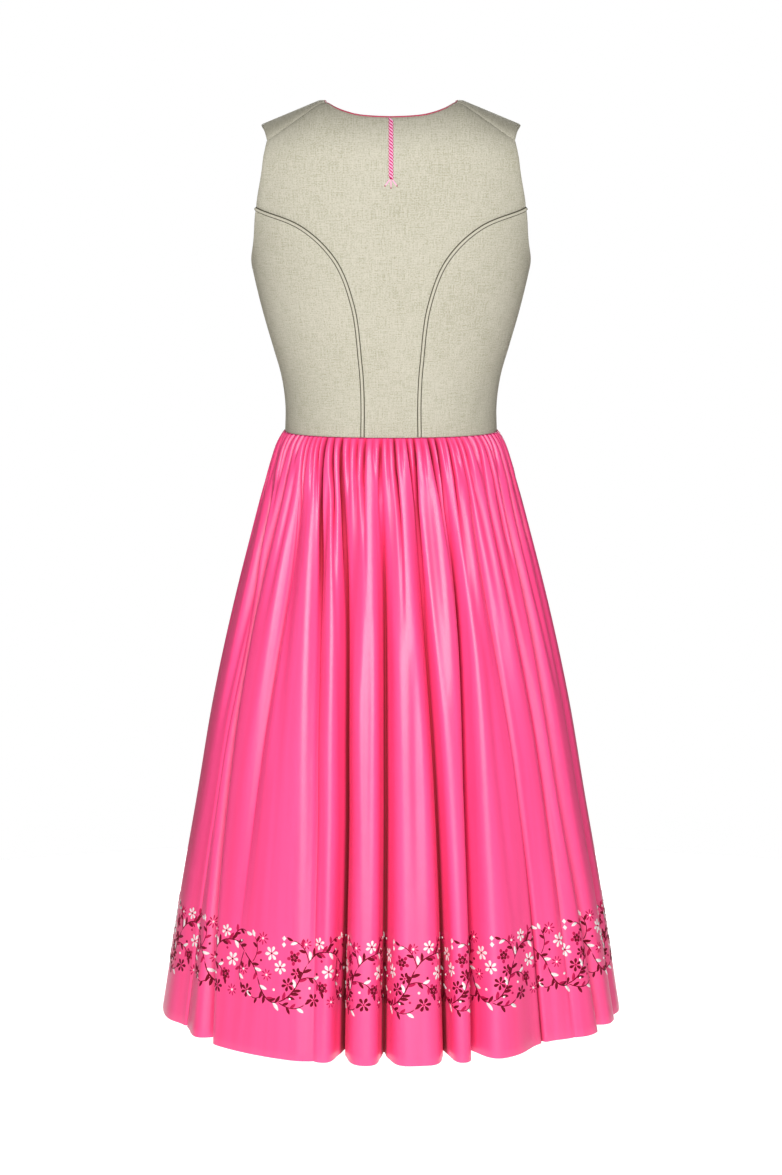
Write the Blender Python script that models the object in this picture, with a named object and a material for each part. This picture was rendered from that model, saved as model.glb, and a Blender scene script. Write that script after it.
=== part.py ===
"""A sleeveless dirndl, filled out as if worn, with nobody in it.

A close-fitting bodice of seven linen panels has piped back seams, a piped neckline and a
buttoned centre front.  A satin skirt in two halves is gathered into its waist seam and
falls in large folds.

Metres, +Z up.  The front faces -Y and the back +Y, and the wearer's left is +X.  The
origin is the middle of the shoulder line, where the wearer carries the dress.
"""

import math
from collections import namedtuple

import bmesh
import bpy
import numpy as np
from mathutils import Vector

# ---------------------------------------------------------------- driving dimensions
WAIST_Z = -0.381  # the waist seam, below the middle of the shoulder line
HEM_Z = -1.106
BODICE_WALL = 0.0020  # linen on its backing
SKIRT_WALL = 0.0012  # satin
SEAM_GAP = 0.0004  # between two pieces, measured across their seam
LIFT_GAP = 0.0003  # between a piece and what lies on it

SHOULDER_Z = -0.055  # above this level the body rounds over the shoulder
SHOULDER_R = 0.070
SHOULDER_SLOPE = 0.41  # how fast the shoulder line falls outwards
NECK_X = 0.0855  # where that fall begins
BUST_X = 0.086
BUST_Z = -0.235
BUST_RISE = 0.016
BUST_SPREAD = 0.056

LAP_GAP = 0.0015  # between the two ends of the neck piping
LAP_HALF = 0.012  # the centre front laps this far past the middle, right over left
LAP_RISE = BODICE_WALL + 0.0008  # how far the upper lap stands off the body
LAP_FLAT = 0.030  # the right front is lifted so far out to this distance past the middle,
LAP_FADE = 0.020  # and comes back to the body within this
BACK_PIPE_WIDTH = 0.0036
BACK_PIPE_HEIGHT = 0.0016
NECK_PIPE_R = 0.0012
PIPE_CORNERS = 6  # round a piping's section

BUTTONS = 7
BUTTON_R = 0.0060
BUTTON_HEIGHT = 0.0036
BUTTON_SHANK = 0.0009  # from the linen to the button's back
BUTTON_TOP_Z = -0.140
BUTTON_STEP = 0.037
BUTTON_SIDES = 10

GATHERS = 88  # round the whole waist
GATHER_WAIST = 0.0022  # half height of a gather at the waist seam
GATHER_FULL = 0.0036  # and where it stands out most
GATHER_SWELL = 0.012  # depth over which it grows to that
GATHER_FALL = 0.125  # how far down it has faded away
GATHER_UNEVEN = 0.30  # how much longer or shorter than that a gather may be
HIP = 0.150  # depths below the waist seam at which the fold table is read
THIGH = 0.400
HEM = WAIST_Z - HEM_Z

# ---------------------------------------------------------------- the body's sections
# Half width, and depth behind and in front, of the rounded ring at each level.
Ring = namedtuple("Ring", "level half_width back front power")
BODICE_RINGS = (
    Ring(-0.055, 0.1860, 0.0995, 0.0995, 2.35),
    Ring(-0.085, 0.1840, 0.1010, 0.1010, 2.35),
    Ring(-0.120, 0.1790, 0.1015, 0.1060, 2.35),
    Ring(-0.160, 0.1720, 0.1015, 0.1120, 2.35),
    Ring(-0.187, 0.1668, 0.1010, 0.1150, 2.35),
    Ring(-0.241, 0.1539, 0.0990, 0.1150, 2.35),
    Ring(-0.278, 0.1433, 0.0975, 0.1090, 2.35),
    Ring(-0.314, 0.1332, 0.0965, 0.1020, 2.35),
    Ring(-0.350, 0.1285, 0.0970, 0.0995, 2.35),
    Ring(-0.381, 0.1290, 0.0980, 0.1000, 2.35),
)
SKIRT_RINGS = (
    Ring(-0.381, 0.1290, 0.0980, 0.1000, 2.35),
    Ring(-0.393, 0.1350, 0.1035, 0.1055, 2.35),
    Ring(-0.418, 0.1442, 0.1115, 0.1135, 2.30),
    Ring(-0.455, 0.1560, 0.1220, 0.1240, 2.20),
    Ring(-0.529, 0.1772, 0.1410, 0.1430, 2.10),
    Ring(-0.604, 0.1963, 0.1585, 0.1600, 2.05),
    Ring(-0.717, 0.2210, 0.1815, 0.1825, 2.00),
    Ring(-0.831, 0.2408, 0.2000, 0.2000, 2.00),
    Ring(-0.946, 0.2615, 0.2190, 0.2180, 2.00),
    Ring(-1.106, 0.2873, 0.2420, 0.2380, 2.00),
)

# ---------------------------------------------------------------- the cutting lines
# Each line of the left half runs through these marks, seen from behind or in front;
# "over" is the part of the front strap that has passed over the shoulder to the back.
Mark = namedtuple("Mark", "side x z")
BACK_SEAM = (
    Mark("back", 0.0338, WAIST_Z),
    Mark("back", 0.0360, -0.2956),
    Mark("back", 0.0453, -0.2250),
    Mark("back", 0.0652, -0.1748),
    Mark("back", 0.1061, -0.1352),
    Mark("back", 0.1604, -0.1132),
)
BACK_ARMHOLE = (
    Mark("back", 0.1604, -0.1132),
    Mark("back", 0.1530, -0.0700),
    Mark("back", 0.1465, -0.0338),
)
SHOULDER_SEAM = (
    Mark("back", 0.1465, -0.0338),
    Mark("back", 0.1074, -0.0057),
    Mark("back", 0.0777, 0.0118),
)
BACK_NECK = (
    Mark("back", 0.0777, 0.0118),
    Mark("back", 0.0640, 0.0042),
    Mark("back", 0.0400, -0.0036),
    Mark("back", 0.0000, -0.0064),
)
SIDE_SEAM = (
    Mark("back", 0.1290, WAIST_Z),
    Mark("back", 0.1668, -0.1870),
)
UNDERARM_BACK = (
    Mark("back", 0.1668, -0.1870),
    Mark("back", 0.1650, -0.1560),
    Mark("back", 0.1604, -0.1132),
)
UNDERARM_FRONT = (
    Mark("front", 0.1668, -0.1870),
    Mark("front", 0.1570, -0.1650),
    Mark("front", 0.1420, -0.1300),
)
FRONT_SEAM = (
    Mark("front", 0.0600, WAIST_Z),
    Mark("front", 0.0760, -0.3050),
    Mark("front", 0.0930, -0.2300),
    Mark("front", 0.1180, -0.1680),
    Mark("front", 0.1420, -0.1300),
)
FRONT_ARMHOLE = (
    Mark("front", 0.1420, -0.1300),
    Mark("front", 0.1370, -0.0950),
    Mark("front", 0.1430, -0.0550),
    Mark("front", 0.1560, -0.0150),
    Mark("over", 0.1465, -0.0338),
)
FRONT_SHOULDER = (
    Mark("over", 0.0777, 0.0118),
    Mark("over", 0.1074, -0.0057),
    Mark("over", 0.1465, -0.0338),
)
NECK_DEPTH_Z = -0.125
FRONT_NECK = (
    Mark("front", 0.0000, NECK_DEPTH_Z),
    Mark("front", 0.0400, -0.1180),
    Mark("front", 0.0720, -0.0880),
    Mark("front", 0.0830, -0.0450),
    Mark("front", 0.0835, 0.0060),
    Mark("over", 0.0777, 0.0118),
)

# Faces along each edge of the panels; two panels that share a seam share its count.
SEAM_ROWS = 16
ARMHOLE_ROWS = 8
OPENING_ROWS = 12  # up the centre front
NECK_ROWS = SEAM_ROWS + ARMHOLE_ROWS - OPENING_ROWS
SIDE_COLUMNS = 6
STRAP_COLUMNS = 6
BACK_ARMHOLE_COLUMNS = 3
BACK_NECK_COLUMNS = 4

# ---------------------------------------------------------------- the skirt's folds
# Where each valley runs, in degrees from the centre back towards the wearer's right, its
# depth and its width in millimetres, and how far its floor leans under a neighbour.
Fold = namedtuple(
    "Fold", "waist hip thigh hem hip_deep thigh_deep hem_deep hip_wide hem_wide lean"
)
BACK_FOLDS = (
    Fold(-72.0, -66.0, -65.0, -66.0, 7, 5, 12, 8, 34, 0),
    Fold(-54.0, -59.0, -60.0, -52.0, 12, 19, 22, 8, 12, 3),
    Fold(-46.0, -43.5, -44.3, -43.0, 8, 6, 0, 9, 14, 0),
    Fold(-35.5, -29.0, -23.0, -19.0, 9, 9, 4, 9, 12, 0),
    Fold(-24.0, -18.0, -13.7, -12.0, 14, 27, 37, 9, 12, -5),
    Fold(-5.0, -2.5, -1.1, -1.0, 14, 25, 34, 8, 11, -4),
    Fold(9.7, 11.5, 13.7, 13.7, 11, 20, 34, 7, 10, 4),
    Fold(24.5, 26.7, 24.8, 22.5, 13, 27, 42, 8, 12, -4),
    Fold(36.0, 38.0, 41.8, 44.0, 8, 7, 24, 8, 46, 0),
    Fold(46.0, 49.5, 54.0, 54.0, 10, 10, 3, 8, 13, 0),
    Fold(58.0, 60.5, 62.0, 66.0, 11, 18, 28, 9, 13, -4),
    Fold(74.0, 76.0, 77.0, 78.0, 7, 5, 4, 9, 14, 0),
)
FRONT_FOLDS = (
    Fold(99.0, 97.0, 96.0, 97.0, 10, 17, 21, 8, 12, 4),
    Fold(112.0, 113.0, 112.0, 110.0, 9, 8, 4, 9, 13, 0),
    Fold(123.0, 124.0, 126.0, 127.0, 13, 23, 33, 8, 11, -5),
    Fold(136.0, 137.0, 139.0, 141.0, 9, 13, 22, 8, 13, 4),
    Fold(148.0, 150.0, 152.0, 153.0, 11, 9, 3, 9, 14, 0),
    Fold(160.0, 161.0, 163.0, 164.0, 13, 25, 36, 7, 11, 5),
    Fold(174.0, 174.0, 175.0, 176.5, 10, 13, 20, 9, 15, 0),
    Fold(187.0, 188.0, 189.0, 190.0, 13, 24, 35, 7, 11, -5),
    Fold(201.0, 200.0, 200.0, 203.0, 8, 8, 4, 9, 13, 0),
    Fold(213.0, 212.0, 213.0, 214.5, 12, 22, 32, 8, 11, 5),
    Fold(226.0, 226.0, 227.0, 228.0, 10, 12, 17, 8, 14, -3),
    Fold(238.0, 240.0, 240.0, 239.0, 9, 7, 3, 9, 13, 0),
    Fold(250.0, 250.0, 251.0, 252.0, 12, 20, 29, 8, 11, 5),
    Fold(262.0, 262.0, 261.5, 261.0, 8, 12, 14, 8, 13, 0),
)
PINCH = 0.10  # how far a valley's lips close over it, as a share of its depth
SECTION_STEPS = 1440  # fine points round a worked-out outline
LINE_STEPS = 240  # and along a cutting line
# Depths below the waist seam of the skirt's rows of faces, and the columns in each half.
SKIRT_ROWS = (0.0, 0.014, 0.036, 0.070, 0.115, 0.180, 0.270, 0.390, 0.540, HEM)
SKIRT_COLUMNS = GATHERS

# ---------------------------------------------------------------- colours
Finish = namedtuple("Finish", "name colour roughness metallic")
LINEN = Finish("sage linen", (0.686, 0.651, 0.533), 0.90, 0.0)
SATIN = Finish("pink satin", (0.871, 0.127, 0.301), 0.40, 0.0)
PIPING = Finish("rose piping", (0.690, 0.120, 0.190), 0.60, 0.0)
METAL = Finish("pewter", (0.420, 0.400, 0.380), 0.35, 1.0)


# ---------------------------------------------------------------- sections and lines
def smooth(at, value, where):
    """A smooth curve through the rows of value, which lie at rising places, read at where."""
    value = np.asarray(value, dtype=float)
    slope = np.gradient(value, at, axis=0)
    where = np.clip(where, at[0], at[-1])
    i = np.clip(np.searchsorted(at, where) - 1, 0, len(at) - 2)
    step = at[i + 1] - at[i]
    t = (where - at[i]) / step
    if value.ndim > 1:
        step, t = step[..., None], t[..., None]
    start = value[i] * (1 + 2 * t) * (1 - t) ** 2 + slope[i] * step * t * (1 - t) ** 2
    end = value[i + 1] * t * t * (3 - 2 * t) + slope[i + 1] * step * t * t * (t - 1)
    return start + end


def column(rows, level, name):
    """One column of a table of rings at any level."""
    at = np.array([row.level for row in rows[::-1]])
    return smooth(at, [getattr(row, name) for row in rows[::-1]], level)


def ring_point(rows, turn, level):
    """A ring's point; turn runs from the left side (0) by the back (pi/2) to the right."""
    power = column(rows, level, "power")
    back = column(rows, level, "back")
    front = column(rows, level, "front")
    depth = np.where(np.sin(turn) >= 0, back, front)
    reach = np.abs(np.cos(turn)) ** power + np.abs(np.sin(turn)) ** power
    reach = reach ** (-1 / power)
    x = column(rows, level, "half_width") * reach * np.cos(turn)
    return x, depth * reach * np.sin(turn)


def shoulder_radius(x):
    """The height from the start of the shoulder's rounding to the top of the shoulder."""
    return SHOULDER_R - SHOULDER_SLOPE * np.maximum(np.abs(x) - NECK_X, 0.0)


def bodice_point(turn, level):
    """The outside of the bodice; levels go on over the shoulder and down the far side."""
    over = np.maximum(level - SHOULDER_Z, 0.0) / SHOULDER_R
    x, y = ring_point(BODICE_RINGS, turn, level)
    y = y * np.cos(over)
    z = np.minimum(level, SHOULDER_Z) + shoulder_radius(x) * np.sin(over)
    across = (np.abs(x) - BUST_X) / BUST_SPREAD
    up = (z - BUST_Z) / BUST_SPREAD
    bust = BUST_RISE * np.exp(-(across**2) - up**2)
    y = y - bust * np.clip(-2 * np.sin(turn), 0, 1)
    return np.stack([x, y, z], axis=-1)


def bodice_normal(turn, level):
    """The outward normal of the bodice, from its slope round and up the body."""
    step = 0.01
    around = bodice_point(turn + step, level) - bodice_point(turn - step, level)
    upward = bodice_point(turn, level + step / 4) - bodice_point(turn, level - step / 4)
    normal = np.cross(around, upward)
    return normal / np.linalg.norm(normal, axis=-1, keepdims=True)


def on_bodice(mark):
    """The turn and level of a mark that is given by how it looks from behind or in front."""
    rise = (mark.z - SHOULDER_Z) / shoulder_radius(mark.x)
    over = math.asin(min(max(rise, 0.0), 1.0))
    level = SHOULDER_Z + SHOULDER_R * over if rise > 0 else mark.z
    if mark.side == "over":
        level = SHOULDER_Z + SHOULDER_R * (math.pi - over)
    power = column(BODICE_RINGS, level, "power")
    share = abs(mark.x) / column(BODICE_RINGS, level, "half_width")
    share = min(max(share, 1e-6), 1.0)
    turn = math.atan((share**-power - 1) ** (1 / power))
    if mark.x < 0:
        turn = math.pi - turn
    if mark.side != "back":
        turn = -turn
    return turn, level


def spread(path, count):
    """count + 1 points evenly spaced on the bodice along a finely divided path."""
    points = bodice_point(path[:, 0], path[:, 1])
    steps = np.linalg.norm(np.diff(points, axis=0), axis=1)
    length = np.concatenate([[0.0], np.cumsum(steps)])
    at = np.linspace(0.0, length[-1], count + 1)
    return np.stack([np.interp(at, length, path[:, i]) for i in (0, 1)], axis=1)


def line(marks, count):
    """A smooth cutting line through its marks, as count + 1 turns and levels."""
    knots = np.array([on_bodice(mark) for mark in marks])
    chord = np.linalg.norm(np.diff(bodice_point(*knots.T), axis=0), axis=1)
    at = np.concatenate([[0.0], np.cumsum(chord)])
    return spread(smooth(at, knots, np.linspace(0.0, at[-1], LINE_STEPS)), count)


def level_line(start, end, count):
    """The waist edge of a panel, between the ends of two of its seams."""
    turn = np.linspace(start[0], end[0], LINE_STEPS)
    level = np.linspace(start[1], end[1], LINE_STEPS)
    return spread(np.stack([turn, level], axis=1), count)


def joined(*parts):
    """Lines that follow one another, as one."""
    return np.concatenate([parts[0]] + [part[1:] for part in parts[1:]])


def mirrored(path):
    """The same line on the other side of the body."""
    return np.stack([np.pi * np.sign(path[:, 0] + 1e-9) - path[:, 0], path[:, 1]], axis=1)


def patch(bottom, top, first, last):
    """A sheet of turns and levels that fills the four edges of a panel."""
    u = np.linspace(0, 1, len(bottom))[None, :, None]
    v = np.linspace(0, 1, len(first))[:, None, None]
    ruled = (1 - v) * bottom[None] + v * top[None]
    ruled = ruled + (1 - u) * first[:, None] + u * last[:, None]
    corners = (1 - u) * (1 - v) * bottom[0] + u * (1 - v) * bottom[-1]
    corners = corners + (1 - u) * v * top[0] + u * v * top[-1]
    return ruled - corners


# ---------------------------------------------------------------- building pieces
def material(finish):
    """A Principled material, made once for all the pieces of that finish."""
    made = bpy.data.materials.get(finish.name)
    if made is None:
        made = bpy.data.materials.new(finish.name)
        made.use_nodes = True
        shader = made.node_tree.nodes["Principled BSDF"]
        shader.inputs["Base Color"].default_value = (*finish.colour, 1.0)
        shader.inputs["Roughness"].default_value = finish.roughness
        shader.inputs["Metallic"].default_value = finish.metallic
    return made


def add_object(name, bm, finish):
    """Turn a finished bmesh into a smooth-shaded, named object."""
    mesh = bpy.data.meshes.new(name)
    bm.to_mesh(mesh)
    bm.free()
    mesh.materials.append(material(finish))
    mesh.shade_smooth()
    mesh.set_sharp_from_angle(angle=math.radians(40))
    made = bpy.data.objects.new(name, mesh)
    bpy.context.scene.collection.objects.link(made)
    return made


def unit(vectors):
    return vectors / np.maximum(np.linalg.norm(vectors, axis=-1, keepdims=True), 1e-12)


def inset(points, edges):
    """Draw the named edges of a grid of points inwards by half the seam gap."""
    places = {"bottom": (0, 0), "top": (0, -1), "first": (1, 0), "last": (1, -1)}
    moved = points.copy()
    for edge in edges:
        axis, end = places[edge]
        border = np.take(points, end, axis)
        inner = np.take(points, 1 if end == 0 else -2, axis)
        along = unit(np.gradient(border, axis=0))
        inwards = inner - border
        inwards = inwards - (inwards * along).sum(-1, keepdims=True) * along
        np.swapaxes(moved, 0, axis)[end] += unit(inwards) * SEAM_GAP / 2
    return moved


def cloth(name, points, depth, finish):
    """A walled piece of cloth, from a grid of outside points and the way to its inside."""
    rows, columns = points.shape[0] - 1, points.shape[1] - 1
    bm = bmesh.new()
    bmesh.ops.create_grid(bm, x_segments=columns, y_segments=rows, size=1.0)
    bmesh.ops.triangulate(bm, faces=bm.faces, quad_method="FIXED")
    outside = list(bm.verts)
    border = [edge for edge in bm.edges if edge.is_boundary]
    copy = bmesh.ops.duplicate(bm, geom=bm.faces[:] + bm.edges[:] + outside)
    twin = copy["vert_map"]
    for vert in outside:
        i = round((vert.co.x + 1) / 2 * columns)
        j = round((vert.co.y + 1) / 2 * rows)
        vert.co = Vector(points[j, i])
        twin[vert].co = Vector(points[j, i] + depth[j, i])
    inside = [item for item in copy["geom"] if isinstance(item, bmesh.types.BMFace)]
    bmesh.ops.reverse_faces(bm, faces=inside)
    for edge in border:
        one, two = edge.verts
        bm.faces.new((two, one, twin[one], twin[two]))
    bmesh.ops.recalc_face_normals(bm, faces=bm.faces)
    return add_object(name, bm, finish)


def cord(name, rings, finish):
    """A solid strip through rings of points, closed at both ends."""
    bm = bmesh.new()
    loops = []
    for ring in rings:
        verts = [bm.verts.new(point) for point in ring]
        loops.append([bm.edges.new((verts[i - 1], verts[i])) for i in range(len(verts))])
    for one, two in zip(loops, loops[1:]):
        bmesh.ops.bridge_loops(bm, edges=one + two)
    for loop in (loops[0], loops[-1]):
        bmesh.ops.contextual_create(bm, geom=loop)
    bmesh.ops.recalc_face_normals(bm, faces=bm.faces)
    return add_object(name, bm, finish)


# ---------------------------------------------------------------- bodice
def lap_rise(points):
    """How far the right front stands off the body, where it laps over the left one."""
    share = np.clip((points[..., 0] + LAP_FLAT + LAP_FADE) / LAP_FADE, 0, 1)
    return LAP_RISE * share * share * (3 - 2 * share)


def bodice_panel(name, edges, seams, rise=None):
    """A panel from its bottom, top, first and last edges, set back at the named seams."""
    sheet = patch(*edges)
    turn, level = sheet[..., 0], sheet[..., 1]
    points = bodice_point(turn, level)
    normal = bodice_normal(turn, level)
    normal[0] = unit(normal[0] * (1.0, 1.0, 0.0))  # the waist edge is level
    if rise is not None:
        points = points + normal * rise(points)[..., None]
    return cloth(name, inset(points, seams), -normal * BODICE_WALL, LINEN)


def other_side(edges):
    """The four edges of the mirrored panel."""
    bottom, top, first, last = edges
    return mirrored(bottom)[::-1], mirrored(top)[::-1], mirrored(last), mirrored(first)


def back_centre_edges():
    seam = line(BACK_SEAM, SEAM_ROWS)
    half_top = joined(
        line(BACK_ARMHOLE, BACK_ARMHOLE_COLUMNS),
        line(SHOULDER_SEAM, STRAP_COLUMNS),
        line(BACK_NECK, BACK_NECK_COLUMNS),
    )
    top = joined(half_top, mirrored(half_top)[::-1])
    bottom = level_line(seam[0], mirrored(seam)[0], len(top) - 1)
    return bottom, top, seam, mirrored(seam)


def back_side_edges():
    seam = line(BACK_SEAM, SEAM_ROWS)
    side = line(SIDE_SEAM, SEAM_ROWS)
    bottom = level_line(side[0], seam[0], SIDE_COLUMNS)
    return bottom, line(UNDERARM_BACK, SIDE_COLUMNS), side, seam


def front_side_edges():
    seam = line(FRONT_SEAM, SEAM_ROWS)
    side = line(SIDE_SEAM, SEAM_ROWS)
    bottom = level_line(seam[0], side[0], SIDE_COLUMNS)
    return bottom, line(UNDERARM_FRONT, SIDE_COLUMNS)[::-1], seam, side


def front_opening(x):
    """The centre-front edge of a left panel, at x from the middle, from the waist up."""
    marks = (Mark("front", x, WAIST_Z), Mark("front", x, -0.250), Mark("front", x, NECK_DEPTH_Z))
    return line(marks, OPENING_ROWS)


def front_neck(x):
    """The front neckline of the left half, from the edge of its lap over the shoulder."""
    marks = (Mark("front", x, NECK_DEPTH_Z),) + FRONT_NECK[1:]
    return line(marks, NECK_ROWS)


def front_centre_edges():
    """The left front, whose lap runs past the middle to the right."""
    outer = joined(line(FRONT_SEAM, SEAM_ROWS), line(FRONT_ARMHOLE, ARMHOLE_ROWS))
    inner = joined(front_opening(-LAP_HALF), front_neck(-LAP_HALF))
    bottom = level_line(inner[0], outer[0], STRAP_COLUMNS)
    return bottom, line(FRONT_SHOULDER, STRAP_COLUMNS), inner, outer


def bodice():
    """The seven panels."""
    bodice_panel("back_centre", back_centre_edges(), ("bottom", "first", "last", "top"))
    sides = ("bottom", "first", "last")
    bodice_panel("back_side_left", back_side_edges(), sides)
    bodice_panel("back_side_right", other_side(back_side_edges()), sides)
    bodice_panel("front_side_left", front_side_edges(), sides)
    bodice_panel("front_side_right", other_side(front_side_edges()), sides)
    left = front_centre_edges()
    bodice_panel("front_centre_left", left, ("bottom", "top", "last"))
    right = other_side(left)
    bodice_panel("front_centre_right", right, ("bottom", "top", "first"), lap_rise)


# ---------------------------------------------------------------- piping and buttons
def frames(turn, level, rise=0.0):
    """Points along a line on the bodice, its normal, and the direction to its side."""
    normal = bodice_normal(turn, level)
    points = bodice_point(turn, level)
    points = points + normal * np.broadcast_to(rise, turn.shape)[:, None]
    along = unit(np.gradient(points, axis=0))
    return points, normal, np.cross(along, normal)


def back_piping(name, path):
    """A half-round of piping that lies on a back seam, from the waist to the armhole."""
    points, normal, side = frames(path[:, 0], path[:, 1])
    rings = []
    for point, up, across in zip(points, normal, side):
        ring = []
        for i in range(PIPE_CORNERS):
            angle = math.pi * i / (PIPE_CORNERS - 1)
            reach = BACK_PIPE_WIDTH / 2 * math.cos(angle)
            height = LIFT_GAP + BACK_PIPE_HEIGHT * math.sin(angle)
            ring.append(point + across * reach + up * height)
        rings.append(ring)
    rings[0] = [point + np.array([0.0, 0.0, SEAM_GAP]) for point in rings[0]]
    cord(name, rings, LINEN)


def neck_path():
    """The whole neckline, from the end of the right lap by the back to the left front."""
    left = front_neck(-LAP_HALF)
    right = mirrored(left)
    x = bodice_point(*left.T)[:, 0]
    start = [np.interp(LAP_HALF + LAP_GAP, x[:3], left[:3, i]) for i in (0, 1)]
    left = np.concatenate([[start], left[x > LAP_HALF + 2 * LAP_GAP]])
    half = line(BACK_NECK, BACK_NECK_COLUMNS)
    back = joined(mirrored(half), half[::-1])
    return joined(right, from_the_front(back), left[::-1])


def from_the_front(path):
    """The same places on the back, as levels that have come over from the front."""
    return np.stack([-path[:, 0], 2 * SHOULDER_Z + SHOULDER_R * math.pi - path[:, 1]], axis=1)


def neck_piping():
    """A round piping on the edge of the neckline."""
    path = neck_path()
    rise = lap_rise(bodice_point(*path.T)) * (np.arange(len(path)) <= NECK_ROWS)
    points, normal, side = frames(path[:, 0], path[:, 1], rise)
    rings = []
    for point, up, across in zip(points, normal, side):
        middle = point - up * BODICE_WALL / 2 + across * (LIFT_GAP + NECK_PIPE_R)
        ring = []
        for i in range(PIPE_CORNERS):
            angle = 2 * math.pi * i / PIPE_CORNERS
            offset = across * math.cos(angle) + up * math.sin(angle)
            ring.append(middle + offset * NECK_PIPE_R)
        rings.append(ring)
    cord("neck_piping", rings, PIPING)


def button(name, z):
    """A domed button on the lap, its back just clear of the linen."""
    turn, level = on_bodice(Mark("front", 0.0, z))
    turn, level = np.array([turn]), np.array([level])
    normal = Vector(bodice_normal(turn, level)[0])
    place = Vector(bodice_point(turn, level)[0]) + normal * (LAP_RISE + BUTTON_SHANK)
    profile = (
        (0.0, 0.0),
        (0.80 * BUTTON_R, 0.0),
        (BUTTON_R, 0.25 * BUTTON_HEIGHT),
        (0.92 * BUTTON_R, 0.50 * BUTTON_HEIGHT),
        (0.55 * BUTTON_R, 0.88 * BUTTON_HEIGHT),
        (0.0, BUTTON_HEIGHT),
    )
    bm = bmesh.new()
    verts = [bm.verts.new((radius, 0.0, height)) for radius, height in profile]
    edges = [bm.edges.new(pair) for pair in zip(verts, verts[1:])]
    bmesh.ops.spin(
        bm, geom=verts + edges, axis=(0, 0, 1), cent=(0, 0, 0), angle=2 * math.pi,
        steps=BUTTON_SIDES, use_merge=True,
    )
    bmesh.ops.remove_doubles(bm, verts=bm.verts, dist=1e-6)
    bmesh.ops.recalc_face_normals(bm, faces=bm.faces)
    made = add_object(name, bm, METAL)
    made.location = place
    made.rotation_euler = normal.to_track_quat("Z", "Y").to_euler()


# ---------------------------------------------------------------- skirt
def down_the_fold(depth, *values):
    """A fold's size at a depth, from its sizes at the waist, the hip, the thigh and the hem."""
    return smooth(np.array([0.0, HIP, THIGH, HEM]), values, depth)


def section(depth):
    """The skirt's folded outline at a depth, without its gathers, and where folds lie.

    Returns points round the outline, from the left side by the back to the right side
    and on round the front, and the turns in degrees at which its valleys lie.
    """
    level = WAIST_Z - depth
    degrees = np.linspace(-90.0, 270.0, SECTION_STEPS + 1)
    turn = np.radians(degrees + 90.0)
    points = np.stack(ring_point(SKIRT_RINGS, turn, level), axis=-1)
    along = unit(np.roll(points[:-1], -1, axis=0) - np.roll(points[:-1], 1, axis=0))
    along = np.concatenate([along, along[:1]])
    outward = np.stack([along[:, 1], -along[:, 0]], axis=-1)
    radius = np.linalg.norm(points, axis=1)
    inwards = np.zeros(len(points))
    sideways = np.zeros(len(points))
    valleys = []
    for fold in BACK_FOLDS + FRONT_FOLDS:
        middle = down_the_fold(depth, fold.waist, fold.hip, fold.thigh, fold.hem)
        deep = down_the_fold(depth, 0, fold.hip_deep, fold.thigh_deep, fold.hem_deep) / 1000
        thigh_wide = (fold.hip_wide + fold.hem_wide) / 2
        wide = down_the_fold(depth, fold.hip_wide, fold.hip_wide, thigh_wide, fold.hem_wide)
        away = (degrees - middle + 180.0) % 360.0 - 180.0
        t = np.radians(away) * radius / (wide / 1000)
        bell = np.exp(-np.abs(t) ** 2.4)
        lips = -2.4 * t**3 * bell  # 1 and -1 at the valley's edges, towards its middle
        inwards += deep * bell
        sideways += fold.lean / 1000 * depth / HEM * bell + PINCH * deep * lips
        valleys.append(middle)
    points = points - outward * inwards[:, None] + along * sideways[:, None]
    return degrees, points, valleys


def anchors(valleys):
    """The valleys and side seams, in order round the skirt."""
    back, front = valleys[: len(BACK_FOLDS)], valleys[len(BACK_FOLDS) :]
    return np.array([-90.0, *back, 90.0, *front, 270.0])


def arc_lengths(points):
    steps = np.linalg.norm(np.diff(points, axis=0), axis=1)
    return np.concatenate([[0.0], np.cumsum(steps)])


def cloth_shares():
    """How far across its half of the cloth each valley lies, between waist and hem."""
    middle = len(BACK_FOLDS) + 1
    back, front = [], []
    for depth in (0.0, HEM):
        degrees, points, valleys = section(depth)
        marks = np.interp(anchors(valleys), degrees, arc_lengths(points))
        back.append((marks[: middle + 1] - marks[0]) / (marks[middle] - marks[0]))
        front.append((marks[middle:] - marks[middle]) / (marks[-1] - marks[middle]))
    return np.mean(back, axis=0), np.mean(front, axis=0)


def gather_height(share, depth):
    """How far the cloth stands in or out in its gathers, at a share of one half's width."""
    index = share * GATHERS / 2
    fall = GATHER_FALL * (1.0 + GATHER_UNEVEN * np.sin(2.9 * np.round(index)))
    swell = GATHER_FULL - (GATHER_FULL - GATHER_WAIST) * np.exp(-depth / GATHER_SWELL)
    flat_at_seam = np.clip(np.minimum(index, GATHERS / 2 - index) - 0.25, 0, 1)
    return swell * np.exp(-((depth / fall) ** 2)) * flat_at_seam * np.cos(2 * np.pi * index)


def skirt_row(depth, shares):
    """The points round the whole skirt at a depth, back half and then front half."""
    degrees, points, valleys = section(depth)
    length = arc_lengths(points)
    marks = np.interp(anchors(valleys), degrees, length)
    middle = len(BACK_FOLDS) + 1
    share = np.linspace(0, 1, SKIRT_COLUMNS + 1)
    back = np.interp(share, shares[0], marks[: middle + 1])
    front = np.interp(share, shares[1], marks[middle:])
    at = np.concatenate([back, front[1:]])
    height = gather_height(share, depth)
    height = np.concatenate([height, height[1:]])

    def along_outline(places):
        return np.stack([np.interp(places, length, side, period=length[-1]) for side in points.T], 1)

    step = 0.004
    along = unit(along_outline(at + step) - along_outline(at - step))
    outward = np.stack([along[:, 1], -along[:, 0]], axis=-1)
    flat = along_outline(at) + outward * height[:, None]
    return np.column_stack([flat, np.full(len(flat), WAIST_Z - depth)])


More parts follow.
